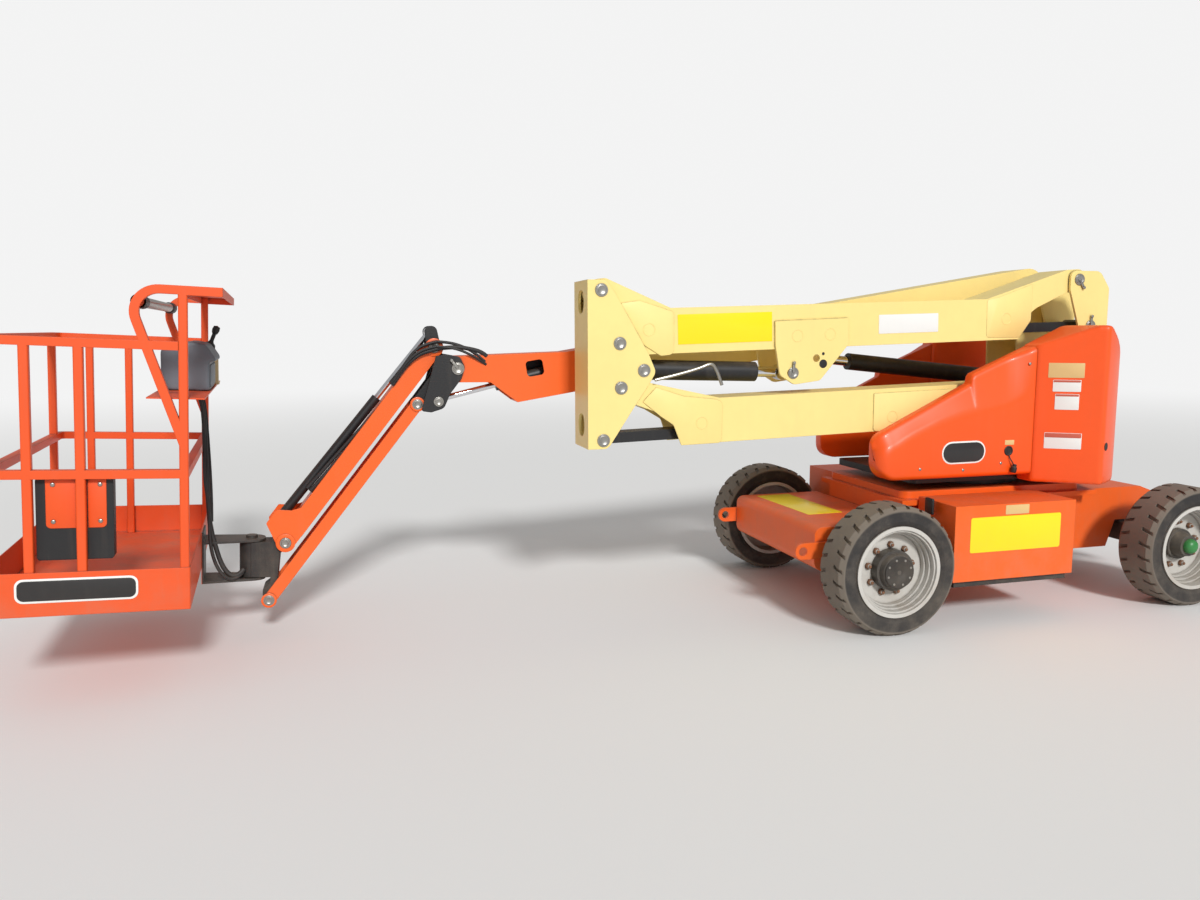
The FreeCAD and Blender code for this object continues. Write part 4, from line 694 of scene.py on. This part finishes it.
bodyLines = {
    "line_jib_a": ("jib_arm", 0.013, "hoseRubber", [(-3.395, 0.082, 1.452), (-3.440, 0.082, 1.404),
                   (-3.560, 0.084, 1.275), (-3.700, 0.084, 1.122), (-3.840, 0.084, 0.970),
                   (-3.960, 0.084, 0.839), (-4.010, 0.084, 0.785)]),
    "line_jib_b": ("jib_arm", 0.010, "hoseRubber", [(-3.446, 0.092, 1.433), (-3.480, 0.092, 1.396),
                   (-3.578, 0.094, 1.288), (-3.718, 0.094, 1.136), (-3.858, 0.094, 0.984),
                   (-3.978, 0.094, 0.853), (-4.026, 0.094, 0.799)]),
    "line_ram": ("tower_barrel", 0.009, "zincSteel", [(-2.222, -0.409, 1.377), (-2.170, -0.411, 1.388),
                 (-2.081, -0.412, 1.407), (-1.967, -0.412, 1.437), (-1.900, -0.412, 1.464),
                 (-1.874, -0.411, 1.430), (-1.856, -0.410, 1.392), (-1.838, -0.408, 1.343)]),
}
deckLines = {
    "line_console_a": (0.011, [(-0.262, -0.060, 0.950), (-0.236, -0.070, 0.860), (-0.228, -0.075, 0.760),
                               (-0.222, -0.075, 0.620), (-0.216, -0.075, 0.464), (-0.214, -0.075, 0.332),
                               (-0.206, -0.070, 0.230)]),
    "line_console_b": (0.008, [(-0.270, -0.090, 0.950), (-0.244, -0.095, 0.880), (-0.232, -0.098, 0.780),
                               (-0.230, -0.092, 0.620), (-0.228, -0.094, 0.464), (-0.212, -0.096, 0.350),
                               (-0.206, -0.086, 0.240)]),
    "line_console_c": (0.007, [(-0.250, -0.030, 0.950), (-0.226, -0.036, 0.860), (-0.214, -0.048, 0.700),
                               (-0.204, -0.056, 0.540), (-0.198, -0.054, 0.400), (-0.196, -0.052, 0.300),
                               (-0.196, -0.056, 0.240)]),
}
swivelLines = {
    "line_swivel_a": (0.013, [(-0.206, -0.070, 0.240), (-0.196, -0.076, 0.180), (-0.180, -0.084, 0.120),
                              (-0.158, -0.090, 0.040), (-0.130, -0.092, -0.020), (-0.096, -0.090, -0.050),
                              (-0.062, -0.080, -0.046), (-0.040, -0.066, -0.020)]),
    "line_swivel_b": (0.009, [(-0.206, -0.086, 0.250), (-0.206, -0.094, 0.170), (-0.196, -0.104, 0.090),
                              (-0.176, -0.110, 0.020), (-0.146, -0.110, -0.034), (-0.108, -0.104, -0.064),
                              (-0.070, -0.090, -0.060), (-0.044, -0.070, -0.036)]),
}


def makeLines():
    for name, (first, second, radius, start, end, route) in boomLines.items():
        mesh = hoseMesh(name, route, radius)
        piece = bpy.data.objects.new(name, mesh)
        bpy.context.scene.collection.objects.link(piece)
        mesh.materials.append(materials["hoseRubber"])
        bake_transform(piece)
    for name, (body, radius, finish, route) in bodyLines.items():
        addPiece(name, hoseMesh(name, route, radius), body, finish)
    for name, (radius, route) in deckLines.items():
        addPiece(name, placed(hoseMesh(name, route, radius), deck), "platform", "hoseRubber")
    for name, (radius, route) in swivelLines.items():
        mesh = placed(hoseMesh(name, route, radius), deck)
        piece = bpy.data.objects.new(name, mesh)
        bpy.context.scene.collection.objects.link(piece)
        mesh.materials.append(materials["hoseRubber"])
        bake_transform(piece)
    print("lines made")


def makePlatformParts():
    bolt = [(0.009, 0.0), (0.009, 0.004), (0.006, 0.006), (0.0, 0.006)]
    for i, (low, high) in enumerate(((-0.809, -0.6945), (-0.6495, -0.578))):
        name = "paper_plate_%d" % i
        outer = 0.02 if i else 0.0
        corners = [(low, 0.373, 0.02 - outer), (high, 0.373, outer), (high, 0.591, outer / 3),
                   (low, 0.591, 0.006 - outer / 4 if i == 0 else 0)]
        plate = deck @ onFace((0, -0.8005, 0))
        addPiece(name, placed(slabMesh(name, roundOutline(corners), 0.004, 0.001), plate),
                 "platform", "shadedDeckPaint")
        for j, z in enumerate((0.402, 0.562)):
            spot = plate @ Matrix.Translation((low + 0.028 if i == 0 else high - 0.024, z, 0.0035))
            screw = "paper_bolt_%d%d" % (i, j)
            addPiece(screw, placed(latheMesh(screw, bolt, 16), spot), "platform", "zincSteel")
    for name, y, out in (("bar_grip_near", -0.800, -1), ("bar_grip_far", 0.691, 1)):
        profile = [(0.031, 0.0), (0.031, 0.150), (0.028, 0.158), (0.0225, 0.160)]
        face = deck @ onFace((-0.445, y, 1.350), (out, 0, 0), (0, 0, 1))
        addPiece(name, placed(latheMesh(name, profile, 28), face), "platform", "blackPlastic")
    profile = [(0.0215, 0.0), (0.0242, 0.003), (0.0242, 1.168), (0.0215, 1.171)]
    face = deck @ onFace((-0.445, -0.640, 1.350), (-1, 0, 0), (0, 0, 1))
    addPiece("bar_sleeve", placed(latheMesh("bar_sleeve", profile, 32), face), "platform", "zincSteel")
    base = deck @ Matrix.Translation((-0.215, 0.330, 0.940))
    profile = [(0.0, 0.0), (0.058, 0.0), (0.058, 0.010), (0.052, 0.016), (0.050, 0.150), (0.044, 0.172),
               (0.030, 0.180), (0.0, 0.182)]
    addPiece("tool_holder", placed(latheMesh("tool_holder", profile, 4), base @ Matrix.Rotation(0.785, 4, "Z")),
             "platform", "creamPlastic", 60.0)
    knob = deck @ Matrix.Translation((-0.215, 0.150, 1.150))
    profile = [(0.030, 0.0), (0.026, 0.014), (0.014, 0.024), (0.010, 0.034), (0.010, 0.070), (0.016, 0.078),
               (0.019, 0.095), (0.016, 0.112), (0.0, 0.118)]
    addPiece("stick", placed(latheMesh("stick", profile, 24), knob @ Matrix.Rotation(0.35, 4, "Y")),
             "platform", "blackPlastic")
    seam = deck @ onFace((-0.192 + 0.001, -0.05, 1.012), (0, 1, 0), (0, 0, 1))
    outline = boxOutline(0.44, 0.11, 0.012)
    addPiece("console_panel", placed(slabMesh("console_panel", outline, 0.004, 0.0015), seam),
             "platform", "greyPlastic")
    print("platform parts made")


# Dark carrier seen through the hatches of the telescoping boom, and black discs of painted shade for the cast hole
# low on the tail and the holes in the ram bracket.
def makeInsides():
    carrier = slabMesh("hatch_carrier", boxOutline(0.22, 0.125, 0.01), 0.016, 0.004)
    addPiece("hatch_carrier", placed(carrier, onFace((-2.762, 0.205, 1.424), (1, 0, -0.01), (0.01, 0, 1))),
             "fly_boom", "blackPlastic")
    # Painted shade: black discs laid over the bracket's holes stand for the shade inside them.
    hole = [(0.024, 0.0), (0.024, 0.0010), (0.021, 0.0014), (0.0, 0.0014)]
    for name, x, z, scale in (("bracket_hole_shade", -1.221, 1.450, 1.0), ("bracket_small_hole_shade", -1.222, 1.506, 0.35)):
        profile = [(radius * scale, height) for radius, height in hole]
        addPiece(name, placed(latheMesh(name, profile, 28), onFace((x, -0.3922, z))), "upper_arm", "blackPlastic")
    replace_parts(addPiece("console_shell", meltedMesh("console_shell", "control_console", 0.0065, 10), "platform",
                         "greyPlastic", 80.0), "control_console")
    # Painted shade: a black disc stands for the shade inside the cast hole on the tail.
    recess = [(0.0235, 0.0), (0.0235, 0.0016), (0.020, 0.0020), (0.0185, 0.0006), (0.0, 0.0006)]
    spot = onFace((0.398, -0.7628, 0.966), (0.886, 0.463, 0))
    addPiece("tail_hole_shade", placed(latheMesh("tail_hole_shade", recess, 28), spot), "turntable", "blackPlastic")
    print("insides made")


# Moulded hoods: side outline as (along, up) in metres, and the crease where the face starts to lean in.
hoodForm = {"outer": 0.560, "depth": 0.115, "low": 0.790, "seam": 0.0655, "noseRound": 0.070,
            "chinRound": 0.110, "browRound": 0.045, "edge": 0.028, "topEdge": 0.030, "lean": 0.048,
            "top": [(-0.946, 1.035), (-0.338, 1.3255), (-0.332, 1.3300), (-0.326, 1.3660), (-0.314, 1.3840),
                    (0.0655, 1.5390)],
            "crease": [(-0.946, 0.930), (-0.833, 0.980), (-0.771, 1.020), (-0.695, 1.054), (-0.567, 1.107),
                       (-0.437, 1.144), (-0.279, 1.179), (-0.118, 1.214), (-0.011, 1.254), (0.036, 1.290),
                       (0.066, 1.350)]}


def along(table, x):
    for (x0, z0), (x1, z1) in zip(table, table[1:]):
        if x <= x1:
            return z0 + (z1 - z0) * (x - x0) / (x1 - x0)
    return table[-1][1]


def roundOff(radius, distance):
    reach = max(radius - distance, 0.0)
    return radius - math.sqrt(max(radius * radius - reach * reach, 0.0))


# One closed section of a hood: distance in from the outer face, and height.
def hoodSection(x, front):
    form = hoodForm
    gone = x - front
    pull = roundOff(form["noseRound"], gone)
    low = form["low"] + roundOff(form["chinRound"], gone)
    top = along(form["top"], x) - roundOff(form["browRound"], gone)
    edge = min(form["edge"], (top - low) * 0.3)
    crease = min(max(along(form["crease"], x), low + edge + 0.02), top - 0.06)
    fade = min(max((form["seam"] - x) / 0.16, 0.0), 1.0)
    brow = min(form["topEdge"], (top - low) * 0.3)
    lean = min(form["lean"] * fade * fade * (3 - 2 * fade), form["depth"] - 0.004 - brow - pull)
    points = [(form["depth"], low)]
    for step in range(6):
        angle = math.pi / 2 * step / 5
        points.append((pull + edge - edge * math.sin(angle), low + edge - edge * math.cos(angle)))
    for up, share in ((-0.030, 0.0), (-0.014, 0.015), (0.0, 0.05), (0.014, 0.12), (0.034, 0.24)):
        points.append((pull + lean * share, crease + up))
    for step in range(6):
        angle = math.pi / 2 * step / 5
        points.append((pull + lean + brow - brow * math.cos(angle), top - brow + brow * math.sin(angle)))
    points.append((form["depth"], top))
    return points


def hoodMesh(name, out, front):
    seam = hoodForm["seam"]
    near = [front + 0.0004, front + 0.003, front + 0.009, front + 0.018, front + 0.030, front + 0.046,
            front + 0.068, front + 0.090, front + 0.115, front + 0.150]
    stations = near + [front + 0.20 + 0.045 * k for k in range(40)]
    stations = [x for x in stations if x < seam - 0.02 and abs(x + 0.330) > 0.024]
    stations = sorted(stations + [-0.352, -0.342, -0.336, -0.331, -0.326, -0.320, -0.312, 0.0, 0.03, 0.05, seam])
    shape = bmesh.new()
    loops = [[shape.verts.new((x, out * (hoodForm["outer"] - inward), z)) for inward, z in hoodSection(x, front)]
             for x in stations]
    for first, second in zip(loops, loops[1:]):
        for k in range(len(first)):
            shape.faces.new((first[k - 1], first[k], second[k], second[k - 1]))
    shape.faces.new(loops[0])
    shape.faces.new(loops[-1][::-1])
    return toMesh(name, shape)


# A CAD node's own solid with its edges melted to the soft radii of a casting.
def meltedMesh(name, node, voxel, rounds):
    mesh = nodes[node].data.copy()
    mesh.materials.clear()
    mesh.transform(nodes[node].matrix_world)
    holder = bpy.data.objects.new(name, mesh)
    bpy.context.scene.collection.objects.link(holder)
    shell = holder.modifiers.new("shell", "REMESH")
    shell.mode = "VOXEL"
    shell.voxel_size = voxel
    soft = holder.modifiers.new("soft", "SMOOTH")
    soft.factor = 0.5
    soft.iterations = rounds
    ready = holder.evaluated_get(bpy.context.evaluated_depsgraph_get())
    melted = bpy.data.meshes.new_from_object(ready)
    bpy.data.objects.remove(holder)
    return melted


def makeHoods():
    latch = onFace((-0.6645, -0.640, 0.655), (0, -1, 0), (0, 0, 1))
    addPiece("box_latch", placed(slabMesh("box_latch", boxOutline(0.07, 0.09, 0.008), 0.012, 0.003), latch),
             "chassis", "blackPlastic")
    for name, node, out, front in (("hood_near_shell", "near_hood", -1, -0.946),
                                   ("hood_far_shell", "far_hood", 1, -0.760)):
        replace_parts(addPiece(name, hoodMesh(name, out, front), "turntable", "hoodPaint", 60.0), node)
    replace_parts(addPiece("tail_casting", meltedMesh("tail_casting", "counterweight", 0.011, 9), "turntable",
                         "hoodPaint", 80.0), "counterweight")
    screw = [(0.0085, 0.0), (0.0085, 0.0015), (0.006, 0.0030), (0.0, 0.0034)]
    for i, (x, z) in enumerate(((-0.685, 0.851), (-0.146, 0.865), (-0.40, 0.835), (0.02, 1.44))):
        name = "hood_screw_%d" % i
        addPiece(name, placed(latheMesh(name, screw, 16), onFace((x, -0.560, z))), "turntable", "zincSteel")
    inlet = [(0.029, 0.0), (0.029, 0.003), (0.026, 0.0045), (0.022, 0.0045), (0.020, 0.001), (0.0, 0.001)]
    addPiece("charge_inlet", placed(latheMesh("charge_inlet", inlet, 32), onFace((-0.098, -0.560, 0.936))),
             "turntable", "blackPlastic")
    cover = [(0.0, -0.020), (0.014, -0.020), (0.017, -0.014), (0.017, 0.010), (0.011, 0.018), (0.011, 0.030),
             (0.0, 0.032)]
    hang = Matrix.Translation((-0.070, -0.578, 0.828)) @ Matrix.Rotation(0.25, 4, "Y")
    addPiece("charge_cover", placed(latheMesh("charge_cover", cover, 20), hang), "turntable", "blackPlastic")
    strap = [(-0.094, -0.562, 0.912), (-0.093, -0.568, 0.896), (-0.086, -0.574, 0.880), (-0.077, -0.577, 0.866),
             (-0.071, -0.578, 0.852)]
    addPiece("charge_strap", hoseMesh("charge_strap", strap, 0.0032), "turntable", "blackPlastic")
    print("hoods made")


makeHoods()
makeSigns()
makePins()
makeDoublers()
makeWheelParts()
makeLines()
makePlatformParts()
makeInsides()


# Camera at the photograph's place: position in metres, angles in degrees.
cameraView = {"position": (-3.814, -5.053, 1.637), "right": 15.50, "down": 7.37, "roll": -0.19,
              "lens": 27.636}


def makeCamera():
    data = bpy.data.cameras.new("camera")
    data.sensor_width = 36.0
    data.lens = cameraView["lens"]
    camera = bpy.data.objects.new("camera", data)
    bpy.context.scene.collection.objects.link(camera)
    turn = Matrix.Rotation(math.radians(-cameraView["right"]), 3, "Z")
    turn = turn @ Matrix.Rotation(math.radians(90 - cameraView["down"]), 3, "X")
    turn = turn @ Matrix.Rotation(math.radians(cameraView["roll"]), 3, "Z")
    camera.matrix_world = Matrix.Translation(cameraView["position"]) @ turn.to_4x4()
    bpy.context.scene.camera = camera


studio = {"floorColour": (0.84, 0.84, 0.83, 1), "sky": (0.9, 0.9, 0.9, 1), "skyLight": 0.42,
          "sunPower": 2.45, "sunSpread": 9.0, "sunTravel": (-0.04, 0.851, -0.523)}


def makeStudio():
    scene = bpy.context.scene
    scene.view_settings.view_transform = "Standard"
    floor = bpy.data.meshes.new("floor")
    reach = 60.0
    floor.from_pydata([(-reach, -reach, 0), (reach, -reach, 0), (reach, reach, 0), (-reach, reach, 0)],
                      [], [(0, 1, 2, 3)])
    ground = bpy.data.objects.new("floor", floor)
    scene.collection.objects.link(ground)
    material = bpy.data.materials.new("floorPaint")
    material.use_nodes = True
    tree = material.node_tree
    shader = tree.nodes["Principled BSDF"]
    shader.inputs["Base Color"].default_value = studio["floorColour"]
    shader.inputs["Roughness"].default_value = 0.9
    length = addNode(tree, "ShaderNodeVectorMath", operation="LENGTH")
    tree.links.new(addNode(tree, "ShaderNodeTexCoord").outputs["Object"], length.inputs[0])
    away = smoothStep(tree, length.outputs["Value"], 6.0, 24.0)
    glow = addNode(tree, "ShaderNodeEmission")
    glow.inputs["Color"].default_value = studio["sky"]
    blend = addNode(tree, "ShaderNodeMixShader")
    tree.links.new(away, blend.inputs[0])
    tree.links.new(shader.outputs[0], blend.inputs[1])
    tree.links.new(glow.outputs[0], blend.inputs[2])
    tree.links.new(blend.outputs[0], tree.nodes["Material Output"].inputs["Surface"])
    floor.materials.append(material)

    world = bpy.data.worlds.new("studio")
    scene.world = world
    world.use_nodes = True
    tree = world.node_tree
    light = tree.nodes["Background"]
    light.inputs["Color"].default_value = (1, 1, 1, 1)
    light.inputs["Strength"].default_value = studio["skyLight"]
    seen = addNode(tree, "ShaderNodeBackground")
    seen.inputs["Color"].default_value = studio["sky"]
    rays = addNode(tree, "ShaderNodeLightPath")
    direct = math2(tree, "ADD", rays.outputs["Is Camera Ray"], rays.outputs["Is Transmission Ray"], True)
    blend = addNode(tree, "ShaderNodeMixShader")
    tree.links.new(direct, blend.inputs[0])
    tree.links.new(light.outputs[0], blend.inputs[1])
    tree.links.new(seen.outputs[0], blend.inputs[2])
    tree.links.new(blend.outputs[0], tree.nodes["World Output"].inputs["Surface"])

    lamp = bpy.data.lights.new("key", "SUN")
    lamp.energy = studio["sunPower"]
    lamp.angle = math.radians(studio["sunSpread"])
    key = bpy.data.objects.new("key", lamp)
    key.rotation_mode = "QUATERNION"
    key.rotation_quaternion = Vector(studio["sunTravel"]).to_track_quat("-Z", "Y")
    scene.collection.objects.link(key)


makeCamera()
makeStudio()
print("camera and studio made")
